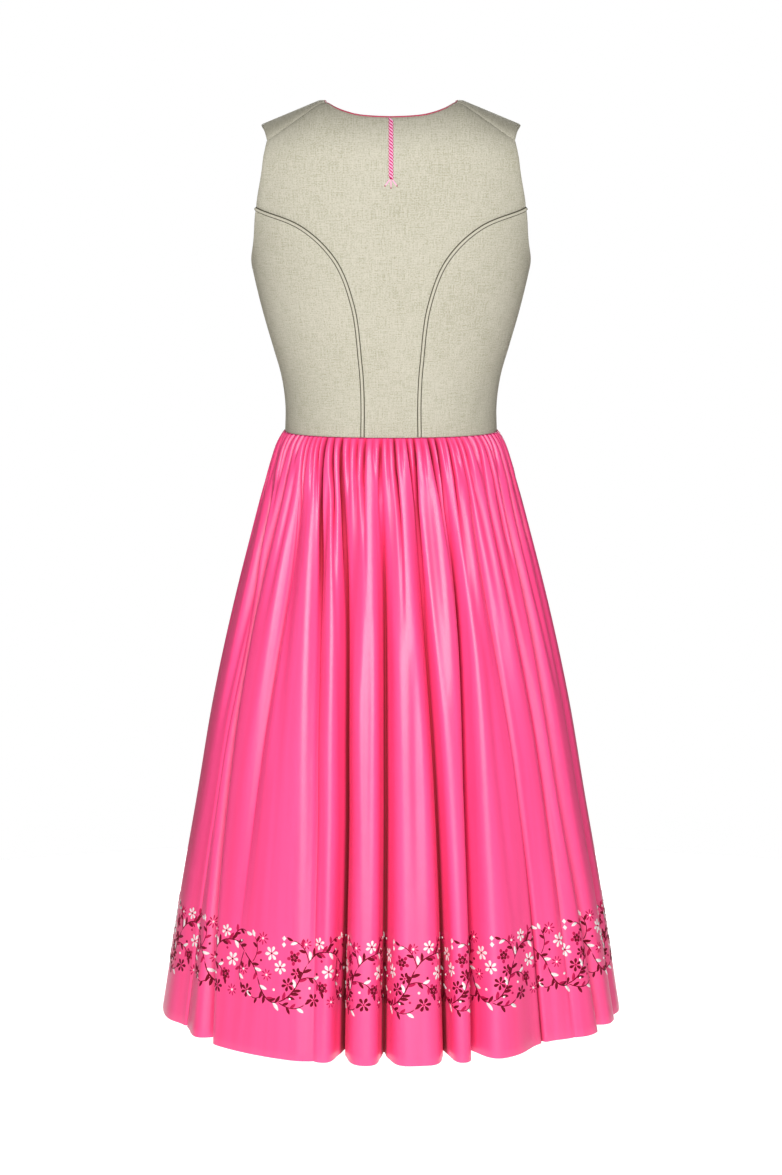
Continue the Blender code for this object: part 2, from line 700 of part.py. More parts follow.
def wall_depth(points):
    """The way from the skirt's outside to its inside, with the wall as thick at a bend."""
    ring = points[:, :-1]
    around = np.roll(ring, -1, axis=1) - np.roll(ring, 1, axis=1)
    normal = unit(np.cross(around, np.gradient(ring, axis=0)))
    normal[-1] = unit(normal[-1] * (1.0, 1.0, 0.0))  # the waist edge is level
    onwards = unit(np.roll(ring, -1, axis=1) - ring)
    slant = np.abs((onwards * normal).sum(-1, keepdims=True))
    even = 1 / np.sqrt(np.maximum(1 - slant**2, 0.5))
    depth = -normal * even * SKIRT_WALL
    return np.concatenate([depth, depth[:, :1]], axis=1)


def skirt():
    """The back and front halves, hung from the waist seam and sewn at the sides."""
    shares = cloth_shares()
    points = np.array([skirt_row(depth, shares) for depth in SKIRT_ROWS[::-1]])
    points[-1, :, 2] -= SEAM_GAP / 2
    depth = wall_depth(points)
    halves = {"skirt_back": slice(0, SKIRT_COLUMNS + 1), "skirt_front": slice(SKIRT_COLUMNS, None)}
    for name, half in halves.items():
        cloth(name, inset(points[:, half], ("first", "last")), depth[:, half], SATIN)


# ---------------------------------------------------------------- the dress
def clear_scene():
    for item in list(bpy.data.objects):
        bpy.data.objects.remove(item, do_unlink=True)


def main():
    clear_scene()
    bodice()
    seam = line(BACK_SEAM, SEAM_ROWS)
    back_piping("piping_back_left", seam)
    back_piping("piping_back_right", mirrored(seam))
    neck_piping()
    for i in range(BUTTONS):
        button(f"button_{i + 1}", BUTTON_TOP_Z - i * BUTTON_STEP)
    skirt()


main()
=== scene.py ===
"""Looks of a sleeveless dirndl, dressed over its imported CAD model.

The skirt, the bodice panels, the piping and the buttons are finer versions of the CAD
pieces, worked out from the same cutting lines, rings and folds.  The sewing thread, the
embroidered border and the rope-stitched centre back are added here.

Metres, +Z up.  The front faces -Y and the back +Y, and the wearer's left is +X.
"""

import functools
import math
from collections import namedtuple

import bmesh
import bpy
import numpy as np
from bpy.props import FloatProperty, FloatVectorProperty, IntProperty, PointerProperty
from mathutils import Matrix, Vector


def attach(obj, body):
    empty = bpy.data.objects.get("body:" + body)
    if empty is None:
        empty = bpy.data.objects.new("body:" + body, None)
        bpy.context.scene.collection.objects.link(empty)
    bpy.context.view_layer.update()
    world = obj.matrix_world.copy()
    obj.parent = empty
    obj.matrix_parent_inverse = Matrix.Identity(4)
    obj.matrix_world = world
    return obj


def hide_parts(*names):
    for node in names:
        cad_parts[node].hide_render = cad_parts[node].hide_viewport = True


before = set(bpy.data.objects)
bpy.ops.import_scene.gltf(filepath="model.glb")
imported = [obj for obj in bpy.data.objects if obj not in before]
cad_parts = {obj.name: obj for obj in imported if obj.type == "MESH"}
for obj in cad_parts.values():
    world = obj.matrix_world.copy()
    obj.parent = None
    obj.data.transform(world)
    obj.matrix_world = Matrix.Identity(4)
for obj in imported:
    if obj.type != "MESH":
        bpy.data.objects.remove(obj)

bl_info = {
    "name": "Dirndl",
    "version": (1, 0, 0),
    "blender": (4, 5, 0),
    "location": "3D View > Sidebar > Dirndl",
    "description": "A sleeveless dirndl with a gathered satin skirt and an embroidered border",
    "category": "Object",
}

# ---------------------------------------------------------------- the CAD's dimensions
WAIST_Z = -0.381  # the waist seam, below the middle of the shoulder line
HEM_Z = -1.106
HEM = WAIST_Z - HEM_Z
BODICE_WALL = 0.0020
SKIRT_WALL = 0.0006  # the satin itself; the CAD's wall is thicker
SEAM_OVERLAP = 0.00016  # sewn edges meet in this; the CAD leaves a gap between them

SHOULDER_Z = -0.055  # above this level the body rounds over the shoulder
SHOULDER_R = 0.070
SHOULDER_SLOPE = 0.41
NECK_X = 0.0855
BUST_X = 0.086
BUST_Z = -0.235
BUST_RISE = 0.016
BUST_SPREAD = 0.056
MEAN_RADIUS = 0.14  # of the body, to lay out the bodice's weave

LAP_GAP = 0.0015
LAP_HALF = 0.012
LAP_RISE = BODICE_WALL + 0.0008
LAP_FLAT = 0.030
LAP_FADE = 0.020
BUTTONS = 7
BUTTON_SHANK = 0.0009
BUTTON_TOP_Z = -0.140
BUTTON_STEP = 0.037

GATHERS = 88
RIDGE_HIGH = 0.75  # how far the gathers stand out, in shares of the rise that is set
CLEFT_DEEP = 2.05  # and how deep the clefts between them are
CLEFT_WIDE = 0.17  # in gathers, as is how far a cleft drifts sideways
CLEFT_DRIFT = 0.55
CLEFT_STRAIGHT = 0.08  # the depth at which it has drifted so far
HIP = 0.150
THIGH = 0.400
PINCH = 0.10  # how far a fold's lips draw together, as a share of its depth
FOLD_POWER = 2.4  # the higher, the steeper a fold's sides
CORE_WIDE = 2.3  # millimetres: each fold closes to a narrow crease at its bottom,
CORE_SHARE = 0.55  # which is this much deeper than the fold
FULL_SHADE_DEPTH = 0.010  # a crease this deep gets the full painted shade in the satin's colour
FOLD_SHADE = 0.07  # how much of a fold's depth counts towards that painted shade
CREASE_SHADE = 0.7  # and how much of a soft trough's depth
TURNED_EDGE = 0.3  # how far the cloth's edges round off, as a share of its thickness
SEAM_DIP_WIDE = 0.0022  # how far from a seam the bodice dips towards it
SIDE_DIP_WIDE = 0.0030  # and the skirt towards its side seams
FINER = 4  # how many times finer the bodice is divided than in the CAD

# The flat size that each piece of cloth was cut to, and its area.
Cut = namedtuple("Cut", "width length area")
CUTS = {
    "skirt_back": Cut(1.280, 0.745, 0.800),
    "skirt_front": Cut(1.350, 0.745, 0.815),
    "back_centre": Cut(0.335, 0.395, 0.069),
    "back_side": Cut(0.155, 0.280, 0.038),
    "front_side": Cut(0.115, 0.265, 0.0285),
    "front_centre": Cut(0.175, 0.470, 0.047),
}

Ring = namedtuple("Ring", "level half_width back front power")
BODICE_RINGS = (
    Ring(-0.055, 0.1860, 0.0995, 0.0995, 2.35),
    Ring(-0.085, 0.1840, 0.1010, 0.1010, 2.35),
    Ring(-0.120, 0.1790, 0.1015, 0.1060, 2.35),
    Ring(-0.160, 0.1720, 0.1015, 0.1120, 2.35),
    Ring(-0.187, 0.1668, 0.1010, 0.1150, 2.35),
    Ring(-0.241, 0.1539, 0.0990, 0.1150, 2.35),
    Ring(-0.278, 0.1433, 0.0975, 0.1090, 2.35),
    Ring(-0.314, 0.1332, 0.0965, 0.1020, 2.35),
    Ring(-0.350, 0.1285, 0.0970, 0.0995, 2.35),
    Ring(-0.381, 0.1290, 0.0980, 0.1000, 2.35),
)
SKIRT_RINGS = (
    Ring(-0.381, 0.1290, 0.0980, 0.1000, 2.35),
    Ring(-0.393, 0.1350, 0.1035, 0.1055, 2.35),
    Ring(-0.418, 0.1442, 0.1115, 0.1135, 2.30),
    Ring(-0.455, 0.1560, 0.1220, 0.1240, 2.20),
    Ring(-0.529, 0.1772, 0.1410, 0.1430, 2.10),
    Ring(-0.604, 0.1963, 0.1585, 0.1600, 2.05),
    Ring(-0.717, 0.2210, 0.1815, 0.1825, 2.00),
    Ring(-0.831, 0.2408, 0.2000, 0.2000, 2.00),
    Ring(-0.946, 0.2615, 0.2190, 0.2180, 2.00),
    Ring(-1.106, 0.2873, 0.2420, 0.2380, 2.00),
)

# ---------------------------------------------------------------- the cutting lines
Mark = namedtuple("Mark", "side x z")


def marks_on(side, *places):
    return tuple(Mark(side, x, z) for x, z in places)


BACK_SEAM = marks_on(
    "back",
    (0.0338, WAIST_Z), (0.0360, -0.2956), (0.0453, -0.2250), (0.0652, -0.1748),
    (0.1061, -0.1352), (0.1604, -0.1132),
)
BACK_ARMHOLE = marks_on("back", (0.1604, -0.1132), (0.1530, -0.0700), (0.1465, -0.0338))
SHOULDER_SEAM = marks_on("back", (0.1465, -0.0338), (0.1074, -0.0057), (0.0777, 0.0118))
BACK_NECK = marks_on(
    "back",
    (0.0777, 0.0118), (0.0640, 0.0042), (0.0400, -0.0036), (0.0200, -0.0057),
    (0.0000, -0.0064),
)
SIDE_SEAM = marks_on("back", (0.1290, WAIST_Z), (0.1668, -0.1870))
UNDERARM_BACK = marks_on("back", (0.1668, -0.1870), (0.1650, -0.1560), (0.1604, -0.1132))
UNDERARM_FRONT = marks_on("front", (0.1668, -0.1870), (0.1570, -0.1650), (0.1420, -0.1300))
FRONT_SEAM = marks_on(
    "front",
    (0.0600, WAIST_Z), (0.0760, -0.3050), (0.0930, -0.2300), (0.1180, -0.1680),
    (0.1420, -0.1300),
)
FRONT_ARMHOLE = (
    marks_on("front", (0.1420, -0.1300), (0.1370, -0.0950), (0.1430, -0.0550), (0.1560, -0.0150))
    + marks_on("over", (0.1465, -0.0338))
)
FRONT_SHOULDER = marks_on("over", (0.0777, 0.0118), (0.1074, -0.0057), (0.1465, -0.0338))
NECK_DEPTH_Z = -0.125
OPENING_BEND_Z = -0.250
FRONT_NECK = (
    marks_on(
        "front",
        (0.0000, NECK_DEPTH_Z), (0.0400, -0.1180), (0.0720, -0.0880), (0.0830, -0.0450),
        (0.0835, 0.0060),
    )
    + marks_on("over", (0.0777, 0.0118))
)
SEAM_ROWS = 16 * FINER
ARMHOLE_ROWS = 8 * FINER
OPENING_ROWS = 12 * FINER
NECK_ROWS = SEAM_ROWS + ARMHOLE_ROWS - OPENING_ROWS
SIDE_COLUMNS = 6 * FINER
STRAP_COLUMNS = 6 * FINER
BACK_ARMHOLE_COLUMNS = 3 * FINER
BACK_NECK_COLUMNS = 4 * FINER

# ---------------------------------------------------------------- folds and creases
# The skirt's large folds: where each lies at four depths, in degrees from the centre back
# towards the wearer's right, then how deep it is at three of them and how wide at two, and
# how far it leans sideways at the hem, in millimetres.
Fold = namedtuple(
    "Fold", "waist hip thigh hem hip_deep thigh_deep hem_deep hip_wide hem_wide lean"
)
BACK_FOLDS = (
    Fold(-72.0, -66.0, -65.0, -66.0, 7, 5, 12, 8, 34, 0),
    Fold(-54.0, -59.0, -60.0, -52.0, 12, 19, 22, 8, 12, 3),
    Fold(-46.0, -43.5, -44.3, -43.0, 8, 6, 0, 9, 14, 0),
    Fold(-35.5, -29.0, -23.0, -19.0, 9, 9, 4, 9, 12, 0),
    Fold(-24.0, -18.0, -13.7, -12.0, 14, 27, 37, 9, 12, -5),
    Fold(-5.0, -2.5, -1.1, -1.0, 14, 25, 34, 8, 11, -4),
    Fold(9.7, 11.5, 13.7, 13.7, 11, 20, 34, 7, 10, 4),
    Fold(24.5, 26.7, 24.8, 22.5, 13, 27, 42, 8, 12, -4),
    Fold(36.0, 38.0, 41.8, 44.0, 8, 7, 24, 8, 46, 0),
    Fold(46.0, 49.5, 54.0, 54.0, 10, 10, 3, 8, 13, 0),
    Fold(58.0, 60.5, 62.0, 66.0, 11, 18, 28, 9, 13, -4),
    Fold(74.0, 76.0, 77.0, 78.0, 7, 5, 4, 9, 14, 0),
)
FRONT_FOLDS = (
    Fold(99.0, 97.0, 96.0, 97.0, 10, 17, 21, 8, 12, 4),
    Fold(112.0, 113.0, 112.0, 110.0, 9, 8, 4, 9, 13, 0),
    Fold(123.0, 124.0, 126.0, 127.0, 13, 23, 33, 8, 11, -5),
    Fold(136.0, 137.0, 139.0, 141.0, 9, 13, 22, 8, 13, 4),
    Fold(148.0, 150.0, 152.0, 153.0, 11, 9, 3, 9, 14, 0),
    Fold(160.0, 161.0, 163.0, 164.0, 13, 25, 36, 7, 11, 5),
    Fold(174.0, 174.0, 175.0, 176.5, 10, 13, 20, 9, 15, 0),
    Fold(187.0, 188.0, 189.0, 190.0, 13, 24, 35, 7, 11, -5),
    Fold(201.0, 200.0, 200.0, 203.0, 8, 8, 4, 9, 13, 0),
    Fold(213.0, 212.0, 213.0, 214.5, 12, 22, 32, 8, 11, 5),
    Fold(226.0, 226.0, 227.0, 228.0, 10, 12, 17, 8, 14, -3),
    Fold(238.0, 240.0, 240.0, 239.0, 9, 7, 3, 9, 13, 0),
    Fold(250.0, 250.0, 251.0, 252.0, 12, 20, 29, 8, 11, 5),
    Fold(262.0, 262.0, 261.5, 261.0, 8, 12, 14, 8, 13, 0),
)
# Soft troughs between the folds: from one depth and turn to another, in degrees from the
# centre back towards the wearer's right, with their depth and width in millimetres.
Crease = namedtuple("Crease", "top foot turn_top turn_foot deep wide")
SKIRT_CREASES = (
    Crease(0.04, 0.33, -80, -82.7, 4.2, 5.6),
    Crease(0.05, 0.37, -65, -69.1, 5.7, 5.6),
    Crease(0.03, 0.24, -49, -51, 4.6, 4.3),
    Crease(0.06, 0.43, -40, -36.6, 4.9, 7.4),
    Crease(0.04, 0.22, -29, -25.6, 4.2, 4.3),
    Crease(0.05, 0.30, -15, -10.9, 6.1, 5.6),
    Crease(0.20, 0.66, -8, -6, 2.5, 5.0),
    Crease(0.04, 0.27, 1, 3, 4.9, 5.0),
    Crease(0.24, 0.62, 8, 7, 2.3, 5.6),
    Crease(0.05, 0.32, 16, 18, 5.3, 5.6),
    Crease(0.05, 0.26, 31, 32.4, 4.6, 5.0),
    Crease(0.16, 0.64, 33, 35, 2.8, 7.4),
    Crease(0.04, 0.28, 41, 44.4, 4.6, 5.0),
    Crease(0.05, 0.36, 53, 56.4, 4.9, 5.6),
    Crease(0.06, 0.32, 66, 68.7, 4.9, 5.6),
    Crease(0.05, 0.37, 83, 85, 4.2, 6.2),
    Crease(0.05, 0.30, 105, 104.3, 4.6, 5.6),
    Crease(0.04, 0.27, 117, 118.4, 4.9, 5.0),
    Crease(0.06, 0.40, 130, 131.4, 5.3, 6.2),
    Crease(0.04, 0.26, 142, 144, 4.6, 5.0),
    Crease(0.05, 0.34, 154, 156, 5.3, 5.6),
    Crease(0.05, 0.29, 167, 168.4, 4.9, 5.6),
    Crease(0.05, 0.36, 181, 181.7, 5.3, 6.2),
    Crease(0.04, 0.26, 194, 194, 4.6, 5.0),
    Crease(0.05, 0.38, 207, 207.7, 5.3, 6.2),
    Crease(0.04, 0.28, 219, 219.7, 4.6, 5.0),
    Crease(0.05, 0.33, 232, 232.7, 4.9, 5.6),
    Crease(0.05, 0.29, 244, 245.4, 4.6, 5.6),
    Crease(0.05, 0.36, 256, 256.7, 4.6, 5.6),
)
# Faint pulls in the bodice, between two places seen from behind or in front, with their
# depth and width in millimetres.
Pull = namedtuple("Pull", "side x1 z1 x2 z2 deep wide")
BODICE_PULLS = (
    Pull("back", -0.080, -0.365, -0.092, -0.300, 0.7, 6),
    Pull("back", -0.100, -0.370, -0.116, -0.315, 0.8, 5),
    Pull("back", -0.058, -0.372, -0.064, -0.325, 0.5, 5),
    Pull("back", 0.088, -0.366, 0.101, -0.310, 0.7, 6),
    Pull("back", 0.062, -0.372, 0.070, -0.318, 0.5, 5),
    Pull("back", 0.132, -0.160, 0.105, -0.190, 0.7, 8),
    Pull("back", -0.134, -0.158, -0.104, -0.194, 0.6, 8),
    Pull("back", 0.020, -0.372, 0.014, -0.300, 0.4, 7),
    Pull("back", -0.018, -0.372, -0.010, -0.310, 0.4, 7),
    Pull("front", 0.040, -0.368, 0.058, -0.290, 0.7, 7),
    Pull("front", -0.044, -0.366, -0.060, -0.296, 0.7, 7),
    Pull("front", 0.086, -0.368, 0.096, -0.300, 0.7, 6),
    Pull("front", -0.084, -0.370, -0.094, -0.304, 0.7, 6),
    Pull("front", 0.122, -0.150, 0.098, -0.186, 0.8, 8),
    Pull("front", -0.122, -0.152, -0.100, -0.184, 0.8, 8),
    Pull("front", 0.020, -0.262, 0.060, -0.238, 0.6, 7),
    Pull("front", -0.024, -0.260, -0.062, -0.240, 0.6, 7),
)
SECTION_STEPS = 2880  # round the skirt, where its outline is worked out
LINE_STEPS = 480  # along a cutting line, where it is worked out
SKIRT_ROWS = 94
COLUMNS_A_GATHER = 10
SKIRT_COLUMNS = COLUMNS_A_GATHER * GATHERS // 2  # in each half

# ---------------------------------------------------------------- the border's chart
# One repeat, in millimetres from its lower left corner.  Its width is drawn in or let out
# so that a whole number of repeats goes round the hem.
CHART_WIDTH = 152
BORDER_HEIGHT = 0.090
VINE_WIDER, LEAF_LONGER, LEAF_WIDER, FLOWER_LARGER = 1.6, 1.45, 1.50, 1.1  # than the chart
Vine = namedtuple("Vine", "x1 y1 x2 y2 x3 y3 x4 y4 width")
VINES = (
    Vine(0, 34, 8, 12, 20, 4, 32, 8, 1.2),
    Vine(32, 8, 58, 16, 62, 40, 72, 54, 1.2),
    Vine(72, 54, 84, 72, 108, 78, 128, 60, 1.2),
    Vine(128, 60, 138, 51, 146, 48, 152, 34, 1.2),
    Vine(12, 15, 4, 10, -2, 6, -8, 10, 0.8),
    Vine(33, 8, 46, 2, 58, 0, 70, 8, 0.9),
    Vine(62, 37, 76, 42, 88, 38, 94, 26, 0.9),
    Vine(74, 57, 72, 70, 64, 80, 52, 82, 0.9),
    Vine(104, 71, 106, 82, 116, 88, 128, 84, 0.8),
    Vine(126, 61, 122, 46, 116, 38, 124, 24, 0.9),
    Vine(142, 50, 150, 58, 152, 70, 144, 80, 0.8),
)
Leaf = namedtuple("Leaf", "vine at side length width thread")
LEAVES = (
    Leaf(0, 0.15, 1, 8.0, 3.2, "white"),
    Leaf(0, 0.42, -1, 7.5, 3.0, "burgundy"),
    Leaf(0, 0.62, 1, 7.5, 2.8, "burgundy"),
    Leaf(0, 0.80, -1, 8.5, 3.4, "white"),
    Leaf(1, 0.12, 1, 7.5, 3.0, "crimson"),
    Leaf(1, 0.30, -1, 7.5, 3.0, "burgundy"),
    Leaf(1, 0.45, 1, 8.0, 3.2, "white"),
    Leaf(1, 0.80, -1, 8.0, 3.0, "burgundy"),
    Leaf(2, 0.10, 1, 8.0, 3.2, "white"),
    Leaf(2, 0.30, -1, 7.5, 3.0, "burgundy"),
    Leaf(2, 0.50, 1, 7.5, 3.0, "crimson"),
    Leaf(2, 0.66, -1, 8.0, 3.2, "white"),
    Leaf(2, 0.85, 1, 7.5, 3.0, "burgundy"),
    Leaf(3, 0.30, -1, 7.5, 3.0, "burgundy"),
    Leaf(3, 0.70, 1, 7.5, 3.0, "white"),
    Leaf(4, 0.50, 1, 5.5, 2.4, "burgundy"),
    Leaf(4, 1.00, -1, 6.5, 2.8, "white"),
    Leaf(5, 0.30, -1, 7.0, 2.8, "burgundy"),
    Leaf(5, 0.45, 1, 6.5, 2.6, "crimson"),
    Leaf(5, 0.70, -1, 7.0, 3.0, "white"),
    Leaf(6, 0.30, -1, 7.0, 2.8, "burgundy"),
    Leaf(6, 0.50, 1, 7.0, 2.8, "white"),
    Leaf(6, 0.75, -1, 6.5, 2.6, "crimson"),
    Leaf(7, 0.30, 1, 7.0, 2.8, "burgundy"),
    Leaf(7, 0.55, -1, 7.0, 2.8, "crimson"),
    Leaf(7, 0.80, 1, 7.0, 2.8, "white"),
    Leaf(7, 1.00, -1, 6.5, 2.6, "burgundy"),
    Leaf(8, 0.35, 1, 6.5, 2.6, "crimson"),
    Leaf(8, 0.60, -1, 6.5, 2.6, "burgundy"),
    Leaf(8, 1.00, 1, 7.0, 3.0, "white"),
    Leaf(9, 0.30, 1, 7.0, 2.8, "burgundy"),
    Leaf(9, 0.50, -1, 7.0, 2.8, "crimson"),
    Leaf(9, 0.75, 1, 6.5, 2.8, "white"),
    Leaf(10, 0.35, -1, 6.5, 2.6, "crimson"),
    Leaf(10, 0.60, 1, 6.5, 2.6, "burgundy"),
    Leaf(10, 1.00, -1, 6.5, 2.8, "white"),
    Leaf(0, 0.28, -1, 7.5, 2.8, "burgundy"),
    Leaf(0, 0.52, 1, 7.0, 2.6, "crimson"),
    Leaf(0, 0.92, 1, 7.5, 2.8, "burgundy"),
    Leaf(1, 0.20, -1, 7.5, 2.8, "burgundy"),
    Leaf(1, 0.38, -1, 7.5, 2.8, "burgundy"),
    Leaf(1, 0.62, -1, 7.5, 2.8, "crimson"),
    Leaf(1, 0.70, 1, 7.5, 2.8, "burgundy"),
    Leaf(2, 0.20, 1, 7.5, 2.8, "burgundy"),
    Leaf(2, 0.40, -1, 7.5, 2.8, "crimson"),
    Leaf(2, 0.58, 1, 7.5, 2.8, "burgundy"),
    Leaf(2, 0.76, 1, 7.0, 2.8, "burgundy"),
    Leaf(3, 0.50, 1, 7.5, 2.8, "burgundy"),
    Leaf(3, 0.86, -1, 7.5, 2.8, "crimson"),
    Leaf(5, 0.16, 1, 6.5, 2.6, "burgundy"),
    Leaf(5, 1.00, 1, 7.0, 2.8, "burgundy"),
    Leaf(6, 1.00, -1, 7.0, 2.8, "burgundy"),
    Leaf(8, 0.20, -1, 6.0, 2.4, "burgundy"),
    Leaf(9, 1.00, -1, 6.5, 2.6, "burgundy"),
    Leaf(10, 0.80, -1, 6.5, 2.6, "burgundy"),
)
Flower = namedtuple("Flower", "x y kind thread size turn")
FLOWERS = (
    Flower(20, 64, "daisy", "white", 8.4, 10),
    Flower(34, 49, "daisy", "white", 7.8, 35),
    Flower(106, 48, "daisy", "white", 8.2, 0),
    Flower(46, 30, "daisy", "burgundy", 7.8, 20),
    Flower(82, 13, "daisy", "burgundy", 8.0, 5),
    Flower(136, 16, "daisy", "burgundy", 7.8, 25),
    Flower(5, 80, "star", "crimson", 7.4, 0),
    Flower(110, 12, "star", "crimson", 6.8, 15),
    Flower(14, 38, "star", "crimson", 6.8, 15),
    Flower(54, 62, "rosette", "burgundy", 8.6, 12),
    Flower(38, 76, "diamonds", "white", 3.0, 0),
    Flower(76, 27, "berry", "white", 1.6, 0),
    Flower(26, 22, "berry", "white", 1.6, 0),
    Flower(120, 72, "berry", "white", 1.5, 0),
    Flower(64, 16, "berry", "crimson", 1.5, 0),
    Flower(96, 60, "berry", "crimson", 1.5, 0),
    Flower(58, 44, "daisy", "burgundy", 6.8, 12),
    Flower(92, 80, "daisy", "white", 7.2, 22),
    Flower(96, 29, "rosette", "burgundy", 7.2, 4),
    Flower(128, 40, "star", "crimson", 6.8, 8),
    Flower(70, 78, "star", "crimson", 6.4, 30),
    Flower(142, 84, "berry", "white", 1.6, 0),
    Flower(4, 54, "berry", "burgundy", 1.5, 0),
    Flower(50, 14, "berry", "white", 1.6, 0),
    Flower(88, 44, "berry", "burgundy", 1.5, 0),
)

# ---------------------------------------------------------------- settings


def size(name, default, description, **limits):
    return FloatProperty(
        name=name, description=description, default=default, unit="LENGTH", precision=5, **limits
    )


def paint(name, default, description):
    return FloatVectorProperty(
        name=name, description=description, default=default, size=3, min=0, max=1, subtype="COLOR"
    )


class DirndlSizes(bpy.types.PropertyGroup):
    """What a user would change about the sewing."""

    gather_rise: size("Gather rise", 0.0048, "Half height of the gathers below the waist", min=0)
    gather_fall: size("Gather fall", 0.075, "Depth below the waist at which gathers fade", min=0.01)
    crease: FloatProperty(
        name="Creases", description="How deep the soft creases are", default=1.0, min=0, max=2
    )
    seam_dip: size("Seam dip", 0.0006, "How far the cloth is drawn in at a seam", min=0)
    piping_width: size("Piping width", 0.0034, "Width of the piping on the back seams", min=0.001)
    piping_height: size("Piping height", 0.0017, "How far that piping stands out", min=0.0005)
    neck_piping: size("Neck piping", 0.0013, "Radius of the piping round the neck", min=0.0005)
    border_foot: size("Border foot", 0.058, "From the hem to the lowest motif", min=0.01)
    border_repeats: IntProperty(
        name="Repeats", description="Repeats of the border round the hem", default=18, min=1
    )
    thread_lift: size("Embroidery lift", 0.0006, "How far the embroidery stands out", min=0.0001)
    rope_width: size("Rope width", 0.0052, "Width of the rope stitch on the centre back", min=0.001)
    stitch: size("Stitch", 0.0026, "Length of a topstitch", min=0.001)
    stitch_gap: size("Stitch gap", 0.0009, "From one topstitch to the next", min=0.0001)
    button: size("Button radius", 0.0060, "Radius of a button", min=0.002)
    button_height: size("Button height", 0.0036, "Height of a button", min=0.001)


class DirndlColours(bpy.types.PropertyGroup):
    """The colours of the cloth, threads and metal."""

    linen: paint("Linen", (0.530, 0.506, 0.420), "The bodice")
    linen_fleck: paint("Linen fleck", (0.300, 0.286, 0.195), "Darker yarns in the bodice")
    # Painted shade as well as thread: the seam's sunk stitching, darkened further as the shade in
    # the ditch beside the piping.
    linen_seam: paint("Linen seam", (0.036, 0.031, 0.016), "Thread sunk in the bodice's seams")
    satin: paint("Satin", (0.960, 0.078, 0.270), "The skirt")
    satin_deep: paint("Deep satin", (0.920, 0.036, 0.155), "The skirt's deeper tones")
    # Painted shade: the next two darken the satin's colour down the sides and at the bottoms of its
    # creases.
    satin_side: paint("Satin side", (0.740, 0.022, 0.138), "The skirt down the sides of a crease")
    satin_fold: paint("Satin fold", (0.360, 0.001, 0.020), "The bottoms of the deepest creases")
    piping: paint("Piping", (0.620, 0.060, 0.130), "The piping round the neck")
    white: paint("White thread", (0.960, 0.900, 0.890), "Petals and leaves")
    burgundy: paint("Burgundy thread", (0.175, 0.002, 0.016), "Vines, petals and leaves")
    crimson: paint("Crimson thread", (0.560, 0.010, 0.085), "Petals and leaves")
    fuchsia: paint("Fuchsia thread", (0.640, 0.022, 0.170), "The rope stitch's lower strand")
    rose: paint("Rose thread", (1.000, 0.500, 0.730), "The rope stitch")
    wine: paint("Wine thread", (0.380, 0.008, 0.090), "The rope stitch's knots and the waist seam")
    pewter: paint("Pewter", (0.420, 0.400, 0.370), "The buttons")
    studio: paint("Studio", (0.850, 0.850, 0.850), "The floor and backdrop")


# ---------------------------------------------------------------- materials
class Value:
    """One output of a node; arithmetic on it adds Math nodes."""

    def __init__(self, nodes, socket):
        self.nodes, self.socket = nodes, socket

    def __add__(self, other):
        return self.nodes.maths("ADD", self, other)

    def __rsub__(self, other):
        return self.nodes.maths("SUBTRACT", other, self)

    def __mul__(self, other):
        return self.nodes.maths("MULTIPLY", self, other)

    __radd__ = __add__
    __rmul__ = __mul__


class Nodes:
    """A node tree that is put together one node at a time."""

    def __init__(self, tree):
        self.tree = tree

    def set(self, node, socket, value):
        """Give one input a number, a colour or a link."""
        if isinstance(value, Value):
            self.tree.links.new(value.socket, node.inputs[socket])
        elif hasattr(value, "__len__") and node.inputs[socket].type == "RGBA":
            node.inputs[socket].default_value = (*value[:3], 1.0)
        else:
            node.inputs[socket].default_value = value

    def node(self, kind, output, settings=(), **inputs):
        """Add a node: its settings first, then its inputs, by name or by in_number."""
        made = self.tree.nodes.new("ShaderNode" + kind)
        for name, value in dict(settings).items():
            setattr(made, name, value)
        for name, value in inputs.items():
            place = int(name[3:]) if name.startswith("in_") else name.replace("_", " ")
            self.set(made, place, value)
        return Value(self, made.outputs[output])

    def maths(self, operation, *values):
        inputs = {f"in_{i}": value for i, value in enumerate(values)}
        return self.node("Math", 0, {"operation": operation}, **inputs)


class Look(Nodes):
    """A Principled material and the patterns that its maps are made from."""

    def __init__(self, name, **constants):
        self.material = bpy.data.materials.new(name)
        self.material.use_nodes = True
        super().__init__(self.material.node_tree)
        self.shader = self.tree.nodes["Principled BSDF"]
        for socket, value in constants.items():
            name = socket.replace("_", " ").title().replace("Ior", "IOR")
            self.set(self.shader, name, value)

    def wave(self, value):
        return self.maths("SINE", value)

    def between(self, value, low, high):
        """0 at low, 1 at high, and held there beyond."""
        settings = {"interpolation_type": "SMOOTHSTEP"}
        return self.node("MapRange", 0, settings, in_0=value, in_1=low, in_2=high)

    def mix(self, factor, one, two):
        return self.node("Mix", 2, {"data_type": "RGBA"}, in_0=factor, in_6=one, in_7=two)

    def cloth_map(self):
        """Metres across and down the cloth."""
        return self.node("UVMap", 0, {"uv_map": "cloth"})

    def along(self, places, axis):
        return self.node("SeparateXYZ", axis, in_0=places)

    def noise(self, places, across, down, detail=2.0):
        """Noise with so many grains to the metre across and down the cloth."""
        vector = self.node(
            "VectorMath", 0, {"operation": "MULTIPLY"}, in_0=places, in_1=(across, down, across)
        )
        return self.node("TexNoise", 0, Vector=vector, Scale=1.0, Detail=detail)

    def bump(self, height, distance, strength=1.0, under=None):
        made = self.node("Bump", 0, Height=height, Distance=distance, Strength=strength)
        if under is not None:
            self.tree.links.new(under.socket, made.socket.node.inputs["Normal"])
        return made

    def finish(self, colour=None, roughness=None, normal=None):
        for socket, value in (("Base Color", colour), ("Roughness", roughness), ("Normal", normal)):
            if value is not None:
                self.set(self.shader, socket, value)
        return self.material


def made_once(function):
    """Keep each material after its first making, so that pieces share it."""
    return functools.lru_cache(maxsize=None)(function)


def colour(name, light=1.0):
    """One of the dress's colours as it is set, or lighter or darker."""
    return tuple(min(1.0, light * part) for part in getattr(bpy.context.scene.dirndl_colours, name))


